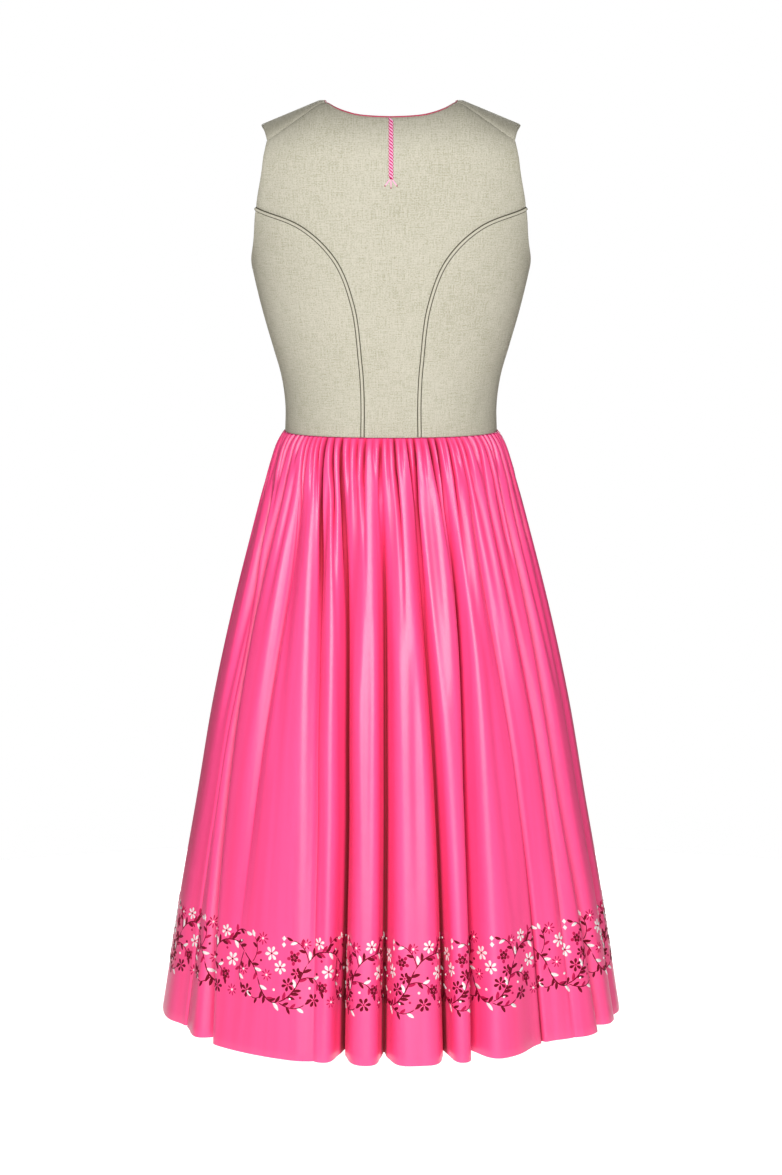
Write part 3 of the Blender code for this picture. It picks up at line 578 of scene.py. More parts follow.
@made_once
def linen():
    """Melange linen: light and dark yarns both ways, flecks, and a plain weave."""
    look = Look("sage_linen", specular_ior_level=0.15)
    places = look.cloth_map()
    warp = look.noise(places, 1500.0, 55.0)
    weft = look.noise(places, 55.0, 1500.0)
    fleck = look.noise(places, 620.0, 620.0, 3.0)
    cloud = look.noise(places, 14.0, 11.0)
    dark = look.between(warp * 0.42 + weft * 0.42 + fleck * 0.62 + cloud * 0.12, 0.90, 0.60)
    shade = look.mix(dark * 0.75, colour("linen"), colour("linen_fleck"))
    pitch = 2 * math.pi / 0.0011
    weave = look.wave(look.along(places, 0) * pitch) * look.wave(look.along(places, 1) * pitch)
    slub = look.bump(warp + weft, 0.0005, 0.5)
    return look.finish(shade, 0.82 + fleck * 0.14, look.bump(weave, 0.00016, 0.6, slub))


@made_once
def seam_linen():
    """Bias-cut linen over a cord, darkened along both sides by dark stitching sunk in the ditch and
    by painted shade there.
    """
    look = Look("piped_linen", specular_ior_level=0.15)
    places = look.cloth_map()
    fleck = look.noise(places, 900.0, 900.0, 3.0)
    flecked = look.between(fleck, 0.62, 0.38) * 0.45
    light = look.mix(flecked, colour("linen"), colour("linen_fleck"))
    reach = look.maths("ABSOLUTE", look.along(places, 0))
    # The dark band from the cord's flank to the flange's edge is the sunk stitching, darkened
    # further as painted shade in the ditch.
    sunk = look.between(reach, 0.00132, 0.00168)
    shade = look.mix(sunk * 0.9, light, colour("linen_seam"))
    return look.finish(shade, 0.85 + fleck * 0.1, look.bump(fleck, 0.0003, 0.5))


@made_once
def satin():
    """Cotton satin: fine warp floats, broad soft tones, a slight crumple, and painted shade in its
    creases and gather clefts.
    """
    look = Look("pink_satin", specular_ior_level=0.62, sheen_weight=0.04, sheen_roughness=0.3)
    places = look.cloth_map()
    streak = look.noise(places, 70.0, 3.0, 3.0)
    floats = look.noise(places, 2600.0, 160.0)
    crumple = look.noise(places, 34.0, 15.0, 3.0)
    tone = look.between(streak * 0.8 + floats * 0.2, 0.66, 0.30) * 0.34
    shade = look.mix(tone, colour("satin"), colour("satin_deep"))
    # Painted shade: the colour is darkened down the sides and at the bottoms of the creases and
    # gather clefts, by the shade stored on the skirt's points.
    hollow = look.node("Attribute", 2, {"attribute_name": "hollow"})
    shade = look.mix(look.between(hollow, 0.12, 0.60) * 0.7, shade, colour("satin_side"))
    shade = look.mix(look.between(hollow, 0.45, 0.95) * 0.95, shade, colour("satin_fold"))
    seam = look.between(look.along(places, 1), 0.0016, 0.0007) * 0.85
    shade = look.mix(seam, shade, colour("wine"))
    soft = look.bump(crumple, 0.0016, 0.35)
    fine = look.bump(floats + streak * 0.3, 0.00016, 0.45, soft)
    dull = look.between(hollow, 0.1, 0.7) * 0.5
    return look.finish(shade, 0.31 + floats * 0.08 + streak * 0.06 + dull, fine)


@made_once
def thread(name):
    """Shiny embroidery thread, laid side by side along each stitch's own map."""
    look = Look(name + "_thread", specular_ior_level=0.12)
    places = look.cloth_map()
    strand = look.wave(look.along(places, 0) * (2 * math.pi / 0.00045)) * 0.5 + 0.5
    grain = look.noise(places, 900.0, 3.0)
    shade = look.mix((1 - strand) * 0.45 + grain * 0.2, colour(name), colour(name, 0.66))
    return look.finish(shade, 0.42 + grain * 0.2, look.bump(strand, 0.00014, 0.7))


@made_once
def linen_thread():
    """Waxed linen thread, a shade lighter than the cloth."""
    look = Look("linen_thread", sheen_weight=0.2, specular_ior_level=0.3)
    places = look.cloth_map()
    twist = look.wave((look.along(places, 0) + look.along(places, 1)) * (2 * math.pi / 0.0006))
    shade = look.mix(twist * 0.25 + 0.25, colour("linen", 1.12), colour("linen_fleck"))
    return look.finish(shade, 0.6 + twist * 0.1, look.bump(twist, 0.0001, 0.6))


@made_once
def piped_cotton():
    """Rose cotton over the neck's cord, with the bias weave's small ribs."""
    look = Look("rose_piping", sheen_weight=0.2, specular_ior_level=0.3)
    places = look.cloth_map()
    ribs = look.wave((look.along(places, 0) + look.along(places, 1)) * (2 * math.pi / 0.0009))
    grain = look.noise(places, 700.0, 700.0)
    worn = look.between(grain + ribs * 0.12, 0.62, 0.34)
    shade = look.mix(worn, colour("piping"), colour("piping", 0.55))
    return look.finish(shade, 0.55 + grain * 0.2, look.bump(ribs, 0.00012, 0.7))


@made_once
def pewter():
    """Cast pewter, bright where it is handled and dark in its recesses."""
    look = Look("pewter", metallic=1.0)
    places = look.node("TexCoord", 3)
    relief = look.node("Attribute", 2, {"attribute_name": "relief"})
    worn = look.node("TexNoise", 0, Vector=places, Scale=900.0, Detail=4.0)
    bright = look.between(relief + worn * 0.4, 0.30, 1.0)
    shade = look.mix(bright, colour("pewter", 0.22), colour("pewter"))
    roughness = 0.62 - look.between(relief, 0.2, 0.9) * 0.30 + worn * 0.08
    return look.finish(shade, roughness, look.bump(worn, 0.00008, 0.4))


@made_once
def studio_white():
    """Matt white paper for the floor."""
    look = Look("studio_paper", specular_ior_level=0.1, emission_strength=0.38)
    look.set(look.shader, "Emission Color", (1.0, 1.0, 1.0))
    grain = look.node("TexNoise", 0, Vector=look.node("TexCoord", 3), Scale=40.0)
    shade = look.mix(grain, colour("studio"), colour("studio", 0.985))
    return look.finish(shade, 0.9 + grain * 0.05)


# ---------------------------------------------------------------- sections and lines
def smooth(at, value, where):
    """A smooth curve through the rows of value, which lie at rising places, read at where."""
    value = np.asarray(value, dtype=float)
    slope = np.gradient(value, at, axis=0)
    where = np.clip(where, at[0], at[-1])
    i = np.clip(np.searchsorted(at, where) - 1, 0, len(at) - 2)
    step = at[i + 1] - at[i]
    t = (where - at[i]) / step
    if value.ndim > 1:
        step, t = step[..., None], t[..., None]
    start = value[i] * (1 + 2 * t) * (1 - t) ** 2 + slope[i] * step * t * (1 - t) ** 2
    end = value[i + 1] * t * t * (3 - 2 * t) + slope[i + 1] * step * t * t * (t - 1)
    return start + end


def column(rows, level, name):
    at = np.array([row.level for row in rows[::-1]])
    return smooth(at, [getattr(row, name) for row in rows[::-1]], level)


def ring_point(rows, turn, level):
    """A ring's point; turn runs from the left side (0) by the back (pi/2) to the right."""
    power = column(rows, level, "power")
    back = column(rows, level, "back")
    front = column(rows, level, "front")
    depth = np.where(np.sin(turn) >= 0, back, front)
    reach = np.abs(np.cos(turn)) ** power + np.abs(np.sin(turn)) ** power
    reach = reach ** (-1 / power)
    x = column(rows, level, "half_width") * reach * np.cos(turn)
    return x, depth * reach * np.sin(turn)


def shoulder_radius(x):
    return SHOULDER_R - SHOULDER_SLOPE * np.maximum(np.abs(x) - NECK_X, 0.0)


def bodice_point(turn, level):
    """The outside of the bodice; levels go on over the shoulder and down the far side."""
    over = np.maximum(level - SHOULDER_Z, 0.0) / SHOULDER_R
    x, y = ring_point(BODICE_RINGS, turn, level)
    y = y * np.cos(over)
    z = np.minimum(level, SHOULDER_Z) + shoulder_radius(x) * np.sin(over)
    across = (np.abs(x) - BUST_X) / BUST_SPREAD
    up = (z - BUST_Z) / BUST_SPREAD
    bust = BUST_RISE * np.exp(-(across**2) - up**2)
    y = y - bust * np.clip(-2 * np.sin(turn), 0, 1)
    return np.stack([x, y, z], axis=-1)


def bodice_normal(turn, level):
    step = 0.01
    around = bodice_point(turn + step, level) - bodice_point(turn - step, level)
    upward = bodice_point(turn, level + step / 4) - bodice_point(turn, level - step / 4)
    return unit(np.cross(around, upward))


def on_bodice(mark):
    """The turn and level of a mark that is given by how it looks from behind or in front."""
    rise = (mark.z - SHOULDER_Z) / shoulder_radius(mark.x)
    over = math.asin(min(max(rise, 0.0), 1.0))
    level = SHOULDER_Z + SHOULDER_R * over if rise > 0 else mark.z
    if mark.side == "over":
        level = SHOULDER_Z + SHOULDER_R * (math.pi - over)
    power = column(BODICE_RINGS, level, "power")
    share = abs(mark.x) / column(BODICE_RINGS, level, "half_width")
    share = min(max(share, 1e-6), 1.0)
    turn = math.atan((share**-power - 1) ** (1 / power))
    if mark.x < 0:
        turn = math.pi - turn
    if mark.side != "back":
        turn = -turn
    return turn, level


def unit(vectors):
    return vectors / np.maximum(np.linalg.norm(vectors, axis=-1, keepdims=True), 1e-12)


def run(points, axis=0):
    """The length along a line or sheet of points from its start."""
    steps = np.linalg.norm(np.diff(points, axis=axis), axis=-1)
    start = np.zeros_like(np.take(steps, [0], axis))
    return np.concatenate([start, np.cumsum(steps, axis=axis)], axis=axis)


def spread(path, count):
    """count + 1 points evenly spaced on the bodice along a finely divided path."""
    length = run(bodice_point(path[:, 0], path[:, 1]))
    at = np.linspace(0.0, length[-1], count + 1)
    return np.stack([np.interp(at, length, path[:, i]) for i in (0, 1)], axis=1)


def line(marks, count):
    """A smooth cutting line through its marks, as count + 1 turns and levels."""
    knots = np.array([on_bodice(mark) for mark in marks])
    at = run(bodice_point(*knots.T))
    return spread(smooth(at, knots, np.linspace(0.0, at[-1], LINE_STEPS)), count)


def level_line(start, end, count):
    turn = np.linspace(start[0], end[0], LINE_STEPS)
    level = np.linspace(start[1], end[1], LINE_STEPS)
    return spread(np.stack([turn, level], axis=1), count)


def joined(*parts):
    return np.concatenate([parts[0]] + [part[1:] for part in parts[1:]])


def mirrored(path):
    return np.stack([np.pi * np.sign(path[:, 0] + 1e-9) - path[:, 0], path[:, 1]], axis=1)


def patch(bottom, top, first, last):
    """A sheet of turns and levels that fills the four edges of a panel."""
    u = np.linspace(0, 1, len(bottom))[None, :, None]
    v = np.linspace(0, 1, len(first))[:, None, None]
    ruled = (1 - v) * bottom[None] + v * top[None]
    ruled = ruled + (1 - u) * first[:, None] + u * last[:, None]
    corners = (1 - u) * (1 - v) * bottom[0] + u * (1 - v) * bottom[-1]
    corners = corners + (1 - u) * v * top[0] + u * v * top[-1]
    return ruled - corners


# ---------------------------------------------------------------- building pieces
def add_piece(name, mesh, look, stands_for=()):
    """Link a finished mesh as a piece of the dress, in place of its CAD nodes."""
    mesh.materials.append(look)
    mesh.shade_smooth()
    made = bpy.data.objects.new(name + "_sewn" if stands_for else name, mesh)
    bpy.context.scene.collection.objects.link(made)
    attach(made, "root")
    if stands_for:
        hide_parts(*stands_for)
    return made


def coordinates(mesh):
    flat = np.empty(len(mesh.vertices) * 3, dtype=np.float32)
    mesh.vertices.foreach_get("co", flat)
    return flat.reshape(-1, 3).astype(float)


def move_to(mesh, points):
    mesh.vertices.foreach_set("co", np.asarray(points, dtype=np.float32).ravel())
    mesh.update()


def map_cloth(mesh, places):
    """Give each vertex its place on the cloth, in metres, as the piece's map."""
    corner = np.empty(len(mesh.loops), dtype=np.int32)
    mesh.loops.foreach_get("vertex_index", corner)
    layer = mesh.uv_layers.new(name="cloth")
    layer.uv.foreach_set("vector", np.asarray(places, dtype=np.float32)[corner].ravel())


def cloth(name, points, places, wall, look, hollow=None):
    """A walled sheet, from a grid of outside points and their places on the cloth, with any painted
    shade kept on its points.
    """
    rows, columns = points.shape[0] - 1, points.shape[1] - 1
    bm = bmesh.new()
    bmesh.ops.create_grid(bm, x_segments=columns, y_segments=rows, size=1.0)
    mesh = bpy.data.meshes.new(name)
    bm.to_mesh(mesh)
    bm.free()
    flat = coordinates(mesh)
    i = np.rint((flat[:, 0] + 1) / 2 * columns).astype(int)
    j = np.rint((flat[:, 1] + 1) / 2 * rows).astype(int)
    move_to(mesh, points[j, i])
    map_cloth(mesh, places[j, i])
    if hollow is not None:
        layer = mesh.attributes.new("hollow", "FLOAT", "POINT")
        layer.data.foreach_set("value", hollow[j, i].astype(np.float32))
    middle = points[rows // 2, columns // 2]
    across = points[rows // 2, columns // 2 + 1] - middle
    onwards = points[rows // 2 + 1, columns // 2] - middle
    if np.cross(across, onwards)[:2] @ middle[:2] < 0:
        mesh.flip_normals()
    made = add_piece(name, mesh, look, [name])
    shell = made.modifiers.new("wall", "SOLIDIFY")
    shell.thickness = wall
    shell.offset = -1.0
    turned = made.modifiers.new("turned edge", "BEVEL")
    turned.width = TURNED_EDGE * wall
    turned.segments = 2
    turned.limit_method = "ANGLE"
    turned.angle_limit = math.radians(60)
    return made


def strip(name, rings, places, look, stands_for):
    """A solid strip through rings of points, closed at both ends."""
    bm = bmesh.new()
    loops = []
    for ring in rings:
        verts = [bm.verts.new(point) for point in ring]
        loops.append([bm.edges.new((verts[i - 1], verts[i])) for i in range(len(verts))])
    for one, two in zip(loops, loops[1:]):
        bmesh.ops.bridge_loops(bm, edges=one + two)
    for loop in (loops[0], loops[-1]):
        bmesh.ops.contextual_create(bm, geom=loop)
    bmesh.ops.recalc_face_normals(bm, faces=bm.faces)
    mesh = bpy.data.meshes.new(name)
    bm.to_mesh(mesh)
    bm.free()
    map_cloth(mesh, places)
    return add_piece(name, mesh, look, stands_for)


# ---------------------------------------------------------------- bodice
def lap_rise(points):
    """How far the right front stands off the body, where it laps over the left one."""
    share = np.clip((points[..., 0] + LAP_FLAT + LAP_FADE) / LAP_FADE, 0, 1)
    return LAP_RISE * share * share * (3 - 2 * share)


# Each edge of a sheet: across which axis of its grid, and at which end.
EDGES = {"bottom": (0, 0), "top": (0, -1), "first": (1, 0), "last": (1, -1)}


def from_edge(points, edge):
    """How far each point of a sheet lies from one of its edges, along the cloth."""
    axis, end = EDGES[edge]
    length = run(points, axis)
    return np.abs(length - np.take(length, [end], axis))


def pulls(points, side):
    """Faint troughs that the fit draws in the bodice."""
    total = np.zeros(points.shape[:-1])
    for pull in BODICE_PULLS:
        if pull.side != side:
            continue
        start = np.array([pull.x1, pull.z1])
        way = np.array([pull.x2, pull.z2]) - start
        out = points[..., [0, 2]] - start
        share = np.clip((out @ way) / (way @ way), 0, 1)
        away = np.linalg.norm(out - share[..., None] * way, axis=-1) / (pull.wide / 1000)
        total += pull.deep / 1000 * np.sin(np.pi * (0.15 + 0.7 * share)) * np.exp(-(away**2))
    return total


def let_out(points, edges):
    """The sheet with its named edges let out by half the overlap at a seam."""
    moved = points.copy()
    for edge in edges:
        axis, end = EDGES[edge]
        border = np.take(points, end, axis)
        inner = np.take(points, 1 if end == 0 else -2, axis)
        along = unit(np.gradient(border, axis=0))
        inwards = inner - border
        inwards = inwards - (inwards * along).sum(-1, keepdims=True) * along
        np.swapaxes(moved, 0, axis)[end] -= unit(inwards) * SEAM_OVERLAP / 2
    return moved


Panel = namedtuple("Panel", "name edges seams side cut")


def other_side(edges):
    """The four edges of the mirrored panel."""
    bottom, top, first, last = edges
    return mirrored(bottom)[::-1], mirrored(top)[::-1], mirrored(last), mirrored(first)


def back_centre_edges():
    seam = line(BACK_SEAM, SEAM_ROWS)
    half_top = joined(
        line(BACK_ARMHOLE, BACK_ARMHOLE_COLUMNS),
        line(SHOULDER_SEAM, STRAP_COLUMNS),
        line(BACK_NECK, BACK_NECK_COLUMNS),
    )
    top = joined(half_top, mirrored(half_top)[::-1])
    bottom = level_line(seam[0], mirrored(seam)[0], len(top) - 1)
    return bottom, top, seam, mirrored(seam)


def back_side_edges():
    seam = line(BACK_SEAM, SEAM_ROWS)
    side = line(SIDE_SEAM, SEAM_ROWS)
    bottom = level_line(side[0], seam[0], SIDE_COLUMNS)
    return bottom, line(UNDERARM_BACK, SIDE_COLUMNS), side, seam


def front_side_edges():
    seam = line(FRONT_SEAM, SEAM_ROWS)
    side = line(SIDE_SEAM, SEAM_ROWS)
    bottom = level_line(seam[0], side[0], SIDE_COLUMNS)
    return bottom, line(UNDERARM_FRONT, SIDE_COLUMNS)[::-1], seam, side


def front_opening(x, count=OPENING_ROWS):
    return line([Mark("front", x, z) for z in (WAIST_Z, OPENING_BEND_Z, NECK_DEPTH_Z)], count)


def front_neck(x):
    return line((Mark("front", x, NECK_DEPTH_Z),) + FRONT_NECK[1:], NECK_ROWS)


def front_centre_edges():
    outer = joined(line(FRONT_SEAM, SEAM_ROWS), line(FRONT_ARMHOLE, ARMHOLE_ROWS))
    inner = joined(front_opening(-LAP_HALF), front_neck(-LAP_HALF))
    bottom = level_line(inner[0], outer[0], STRAP_COLUMNS)
    return bottom, line(FRONT_SHOULDER, STRAP_COLUMNS), inner, outer


def bodice_panels():
    """The seven panels, with the seams that draw each in, its side and its cut."""
    seams = ("bottom", "first", "last")
    centre = back_centre_edges()
    yield Panel("back_centre", centre, (*seams, "top"), "back", CUTS["back_centre"])
    for side, edges in (("back", back_side_edges()), ("front", front_side_edges())):
        cut = CUTS[side + "_side"]
        yield Panel(side + "_side_left", edges, seams, side, cut)
        yield Panel(side + "_side_right", other_side(edges), seams, side, cut)
    left, cut = front_centre_edges(), CUTS["front_centre"]
    yield Panel("front_centre_left", left, ("bottom", "top", "last"), "front", cut)
    right = other_side(left)
    yield Panel("front_centre_right", right, ("bottom", "top", "first"), "front", cut)


def bodice_panel(panel, sizes):
    """One panel: pulled in at its seams, with its faint pulls, over the lap if it laps."""
    sheet = patch(*panel.edges)
    turn, level = sheet[..., 0], sheet[..., 1]
    points = bodice_point(turn, level)
    normal = bodice_normal(turn, level)
    normal[0] = unit(normal[0] * (1.0, 1.0, 0.0))
    rise = -pulls(points, panel.side) * sizes.crease
    if panel.name == "front_centre_right":
        rise = rise + lap_rise(points)
    for edge in panel.seams:
        if edge != "bottom":
            rise = rise - sizes.seam_dip * np.exp(-((from_edge(points, edge) / SEAM_DIP_WIDE) ** 2))
    points = let_out(points + normal * rise[..., None], panel.seams)
    places = np.stack([turn * MEAN_RADIUS, level], axis=-1)
    made = cloth(panel.name, points, places, BODICE_WALL, linen())


# ---------------------------------------------------------------- skirt
def down_the_fold(depth, *values):
    return smooth(np.array([0.0, HIP, THIGH, HEM]), values, depth)


def apart(degrees, middle):
    return (degrees - middle + 180.0) % 360.0 - 180.0


def section(depth, crease):
    """The skirt's folded outline at a depth, without its gathers, where folds lie, and how much
    painted shade each place gets.
    """
    level = WAIST_Z - depth
    degrees = np.linspace(-90.0, 270.0, SECTION_STEPS + 1)
    turn = np.radians(degrees + 90.0)
    points = np.stack(ring_point(SKIRT_RINGS, turn, level), axis=-1)
    along = unit(np.roll(points[:-1], -1, axis=0) - np.roll(points[:-1], 1, axis=0))
    along = np.concatenate([along, along[:1]])
    outward = np.stack([along[:, 1], -along[:, 0]], axis=-1)
    radius = np.linalg.norm(points, axis=1)
    inwards = np.zeros(len(points))
    hollow = np.zeros(len(points))
    sideways = np.zeros(len(points))
    valleys = []
    for fold in BACK_FOLDS + FRONT_FOLDS:
        middle = down_the_fold(depth, fold.waist, fold.hip, fold.thigh, fold.hem)
        deep = down_the_fold(depth, 0, fold.hip_deep, fold.thigh_deep, fold.hem_deep) / 1000
        thigh_wide = (fold.hip_wide + fold.hem_wide) / 2
        wide = down_the_fold(depth, fold.hip_wide, fold.hip_wide, thigh_wide, fold.hem_wide)
        t = np.radians(apart(degrees, middle)) * radius / (wide / 1000)
        bell = np.exp(-np.abs(t) ** FOLD_POWER)
        lips = -FOLD_POWER * t**3 * bell
        core = np.exp(-((t * wide / CORE_WIDE) ** 2)) * CORE_SHARE * deep * crease
        inwards += deep * bell + core
        # Painted shade for the satin's colour: the crease at the fold's bottom and a little of the
        # fold round it.
        hollow += core + FOLD_SHADE * deep * np.exp(-((t / 0.7) ** 2))
        sideways += fold.lean / 1000 * depth / HEM * bell + PINCH * deep * lips
        valleys.append(middle)
    for soft in SKIRT_CREASES:
        share = (depth - soft.top) / (soft.foot - soft.top)
        if 0 < share < 1:
            middle = soft.turn_top + (soft.turn_foot - soft.turn_top) * share
            t = np.radians(apart(degrees, middle)) * radius / (soft.wide / 1000)
            deep = crease * soft.deep / 1000 * math.sin(math.pi * share**0.6)
            inwards += deep * np.exp(-(t**2))
            # Painted shade for the satin's colour along the soft trough.
            hollow += CREASE_SHADE * deep * np.exp(-((t / 0.8) ** 2))
    points = points - outward * inwards[:, None] + along * sideways[:, None]
    return degrees, points, valleys, hollow


def anchors(valleys):
    back, front = valleys[: len(BACK_FOLDS)], valleys[len(BACK_FOLDS) :]
    return np.array([-90.0, *back, 90.0, *front, 270.0])


def cloth_shares():
    """How far across its half of the cloth each valley lies, between waist and hem."""
    middle = len(BACK_FOLDS) + 1
    back, front = [], []
    for depth in (0.0, HEM):
        degrees, points, valleys, _ = section(depth, 0.0)
        marks = np.interp(anchors(valleys), degrees, run(points))
        back.append((marks[: middle + 1] - marks[0]) / (marks[middle] - marks[0]))
        front.append((marks[middle:] - marks[middle]) / (marks[-1] - marks[middle]))
    return np.mean(back, axis=0), np.mean(front, axis=0)


def gather_height(share, depth, sizes, chance):
    """How far the cloth stands out in its gathers, and how deep their clefts are."""
    index = share * GATHERS / 2  # a cleft lies midway between two whole numbers
    nearest = np.floor(index).astype(int)
    cleft = np.zeros(len(share))
    for step in (-1, 0, 1):
        one = np.clip(nearest + step, 0, GATHERS // 2 - 1)
        there = (nearest + step >= 0) & (nearest + step < GATHERS // 2)
        strong = (0.5 + 0.5 * chance[0, one]) ** 1.5
        fall = sizes.gather_fall * (0.35 + 1.5 * strong)
        drift = CLEFT_DRIFT * chance[1, one] * min(depth / CLEFT_STRAIGHT, 1.0)
        away = (index - one - 0.5 - drift) / (CLEFT_WIDE + 0.03 * chance[2, one])
        deep = 0.55 + 0.95 * strong
        cleft += there * deep * np.exp(-((depth / fall) ** 2)) * np.exp(-np.abs(away) ** 1.8)
    swell = sizes.gather_rise * (1.0 - 0.62 * math.exp(-depth / 0.006))
    flat_at_seam = np.clip(np.minimum(index, GATHERS / 2 - index) / 0.5, 0, 1)
    ridge = math.exp(-((depth / (1.2 * sizes.gather_fall)) ** 2))
    swell = swell * flat_at_seam
    return RIDGE_HIGH * swell * ridge, CLEFT_DEEP * swell * cleft


def skirt_row(depth, shares, sizes, chance):
    """The points round the whole skirt at a depth, back half and then front half."""
    degrees, points, valleys, hollow = section(depth, sizes.crease)
    length = run(points)
    marks = np.interp(anchors(valleys), degrees, length)
    middle = len(BACK_FOLDS) + 1
    share = np.linspace(0, 1, SKIRT_COLUMNS + 1)
    back = np.interp(share, shares[0], marks[: middle + 1])
    front = np.interp(share, shares[1], marks[middle:])
    at = np.concatenate([back, front[1:]])
    halves = [gather_height(share, depth, sizes, half) for half in chance]
    ridge, cleft = (np.concatenate([halves[0][i], halves[1][i][1:]]) for i in (0, 1))
    # Painted shade for the satin's colour: that of the folds and troughs, and the gathers' clefts.
    hollow = np.interp(at, length, hollow) + cleft

    def along_outline(places):
        sides = [np.interp(places, length, side, period=length[-1]) for side in points.T]
        return np.stack(sides, 1)

    step = 0.004
    along = unit(along_outline(at + step) - along_outline(at - step))
    outward = np.stack([along[:, 1], -along[:, 0]], axis=-1)
    flat = along_outline(at) + outward * (ridge - cleft)[:, None]
    return np.column_stack([flat, np.full(len(flat), WAIST_Z - depth), hollow])


# Besides the shape, the painted shade that darkens the satin's colour at each point.
Surface = namedtuple("Surface", "depths points normals hollow")


@functools.lru_cache(maxsize=1)
def skirt_surface():
    """The whole skirt's outside, from the waist down and from the left side by the back."""
    sizes = bpy.context.scene.dirndl_sizes
    chance = np.random.default_rng(5).uniform(-1, 1, (2, 4, GATHERS // 2))
    depths = HEM * np.linspace(0, 1, SKIRT_ROWS + 1) ** 1.5
    shares = cloth_shares()
    rows = np.array([skirt_row(depth, shares, sizes, chance) for depth in depths])
    points, hollow = rows[..., :3], rows[..., 3]
    ring = points[:, :-1]
    around = np.roll(ring, -1, axis=1) - np.roll(ring, 1, axis=1)
    normals = unit(np.cross(np.gradient(ring, axis=0), around))
    normals = np.concatenate([normals, normals[:, :1]], axis=1)
    return Surface(depths, points, normals, hollow)


def skirt_half(name, half):
    """One half of the skirt, its seams drawn in a little."""
    cut = CUTS[name]
    surface = skirt_surface()
    points = surface.points[:, half].copy()
    normals = surface.normals[:, half]
    points[0, :, 2] += SEAM_OVERLAP / 2
    sizes = bpy.context.scene.dirndl_sizes
    for edge in ("first", "last"):
        dip = sizes.seam_dip * np.exp(-((from_edge(points, edge) / SIDE_DIP_WIDE) ** 2))
        points = points - normals * dip[..., None]
    across = np.linspace(0, cut.width, points.shape[1])
    places = np.stack(np.broadcast_arrays(across[None, :], surface.depths[:, None]), axis=-1)
    points = let_out(points, ("first", "last"))
    # The painted shade, scaled from none to full.
    hollow = np.clip(surface.hollow[:, half] / FULL_SHADE_DEPTH, 0, 1)
    made = cloth(name, points, places, SKIRT_WALL, satin(), hollow)


def border_run():
    """The length round the skirt, from the left side by the back, amid the border."""
    surface = skirt_surface()
    height = bpy.context.scene.dirndl_sizes.border_foot + BORDER_HEIGHT / 2
    row = np.interp(HEM - height, surface.depths, np.arange(len(surface.depths)))
    return run(surface.points[int(row)])


def on_skirt(along, above_hem, lift):
    """Places on the skirt: metres along the border from the left side, and up from the hem."""
    surface = skirt_surface()
    length = border_run()
    across = np.interp(along % length[-1], length, np.arange(len(length)))
    down = np.interp(HEM - above_hem, surface.depths, np.arange(len(surface.depths)))
    i = np.minimum(across.astype(int), len(length) - 2)
    j = np.minimum(down.astype(int), len(surface.depths) - 2)
    u, v = (across - i)[:, None], (down - j)[:, None]

    def read(grid):
        upper = grid[j, i] * (1 - u) + grid[j, i + 1] * u
        lower = grid[j + 1, i] * (1 - u) + grid[j + 1, i + 1] * u
        return upper * (1 - v) + lower * v

    return read(surface.points) + unit(read(surface.normals)) * lift[:, None]


# ---------------------------------------------------------------- stitches
# A patch of thread along a line on the cloth, in metres: its half widths along the line, how
# far it stands out in its middle, how many faces go across it, and how its threads slant.
Stitch = namedtuple("Stitch", "path half_width rise across slant")
SUNK = 0.0001  # how far the edge of a stitch lies in the cloth
STEPS = 6  # faces along a petal
ROUND = np.sqrt(np.clip(1 - np.linspace(-1, 1, STEPS + 1) ** 2, 0, 1))
POINTED = np.sin(np.pi * np.linspace(0, 1, STEPS + 1)) ** 0.75
PETAL = np.sin(np.pi * np.linspace(0, 1, STEPS + 1) ** 1.6) ** 0.6
DIAMOND = 1 - np.abs(np.linspace(-1, 1, STEPS + 1))


def petal(x, y, degrees, length, width, shape, rise, bend=0.0):
    """A petal or leaf from its root, at an angle, in metres; bend curves it sideways."""
    t = np.linspace(0, 1, STEPS + 1)
    way = np.array([math.cos(math.radians(degrees)), math.sin(math.radians(degrees))])
    side = np.array([-way[1], way[0]])
    path = np.array([x, y]) + length * (t[:, None] * way + bend * (t * (1 - t))[:, None] * side)
    return Stitch(path, shape * width / 2, rise, 4, 0.6)


def stitched(name, stitches, place, look):
    """One mesh of many raised patches, each put on the cloth by place(x, y, lift)."""
    bm = bmesh.new()
    flat, places = [], []
    for stitch in stitches:
        steps = len(stitch.path) - 1
        made = bmesh.ops.create_grid(bm, x_segments=steps, y_segments=stitch.across, size=1.0)
        corner = np.array([vert.co[:2] for vert in made["verts"]])
        i = np.rint((corner[:, 0] + 1) / 2 * steps).astype(int)
        across = corner[:, 1]
        way = unit(np.gradient(stitch.path, axis=0))
        side = np.stack([-way[:, 1], way[:, 0]], axis=1)
        width = stitch.half_width[i]
        at = stitch.path[i] + side[i] * (across * width)[:, None]
        crown = np.sqrt(np.clip(1 - across**2, 0, 1)) * np.minimum(1, width / stitch.rise)
        at_end = (i == 0) | (i == steps)
        lift = stitch.rise * crown * np.where(at_end, 0.2, 1) - SUNK
        flat.append(np.column_stack([at, lift]))
        length = run(stitch.path)[i]
        places.append(np.column_stack([length + stitch.slant * across * width, across * 0.01]))
    mesh = bpy.data.meshes.new(name)
    bm.to_mesh(mesh)
    bm.free()
    flat = np.concatenate(flat)
    move_to(mesh, place(flat[:, 0], flat[:, 1], flat[:, 2]))
    map_cloth(mesh, np.concatenate(places))
    return add_piece(name, mesh, look)


def bezier(vine, count):
    t = np.linspace(0, 1, count + 1)[:, None]
    x1, y1, x2, y2, x3, y3, x4, y4 = vine[:8]
    start = (1 - t) ** 3 * np.array([x1, y1]) + 3 * (1 - t) ** 2 * t * np.array([x2, y2])
    return start + 3 * (1 - t) * t**2 * np.array([x3, y3]) + t**3 * np.array([x4, y4])


def vine_stitch(path, width, rise):
    t = np.linspace(0, 1, len(path))
    taper = np.clip(np.minimum(t, 1 - t) * 12 + 0.35, 0, 1)
    return Stitch(path, taper * width / 2, rise, 2, 1.0)


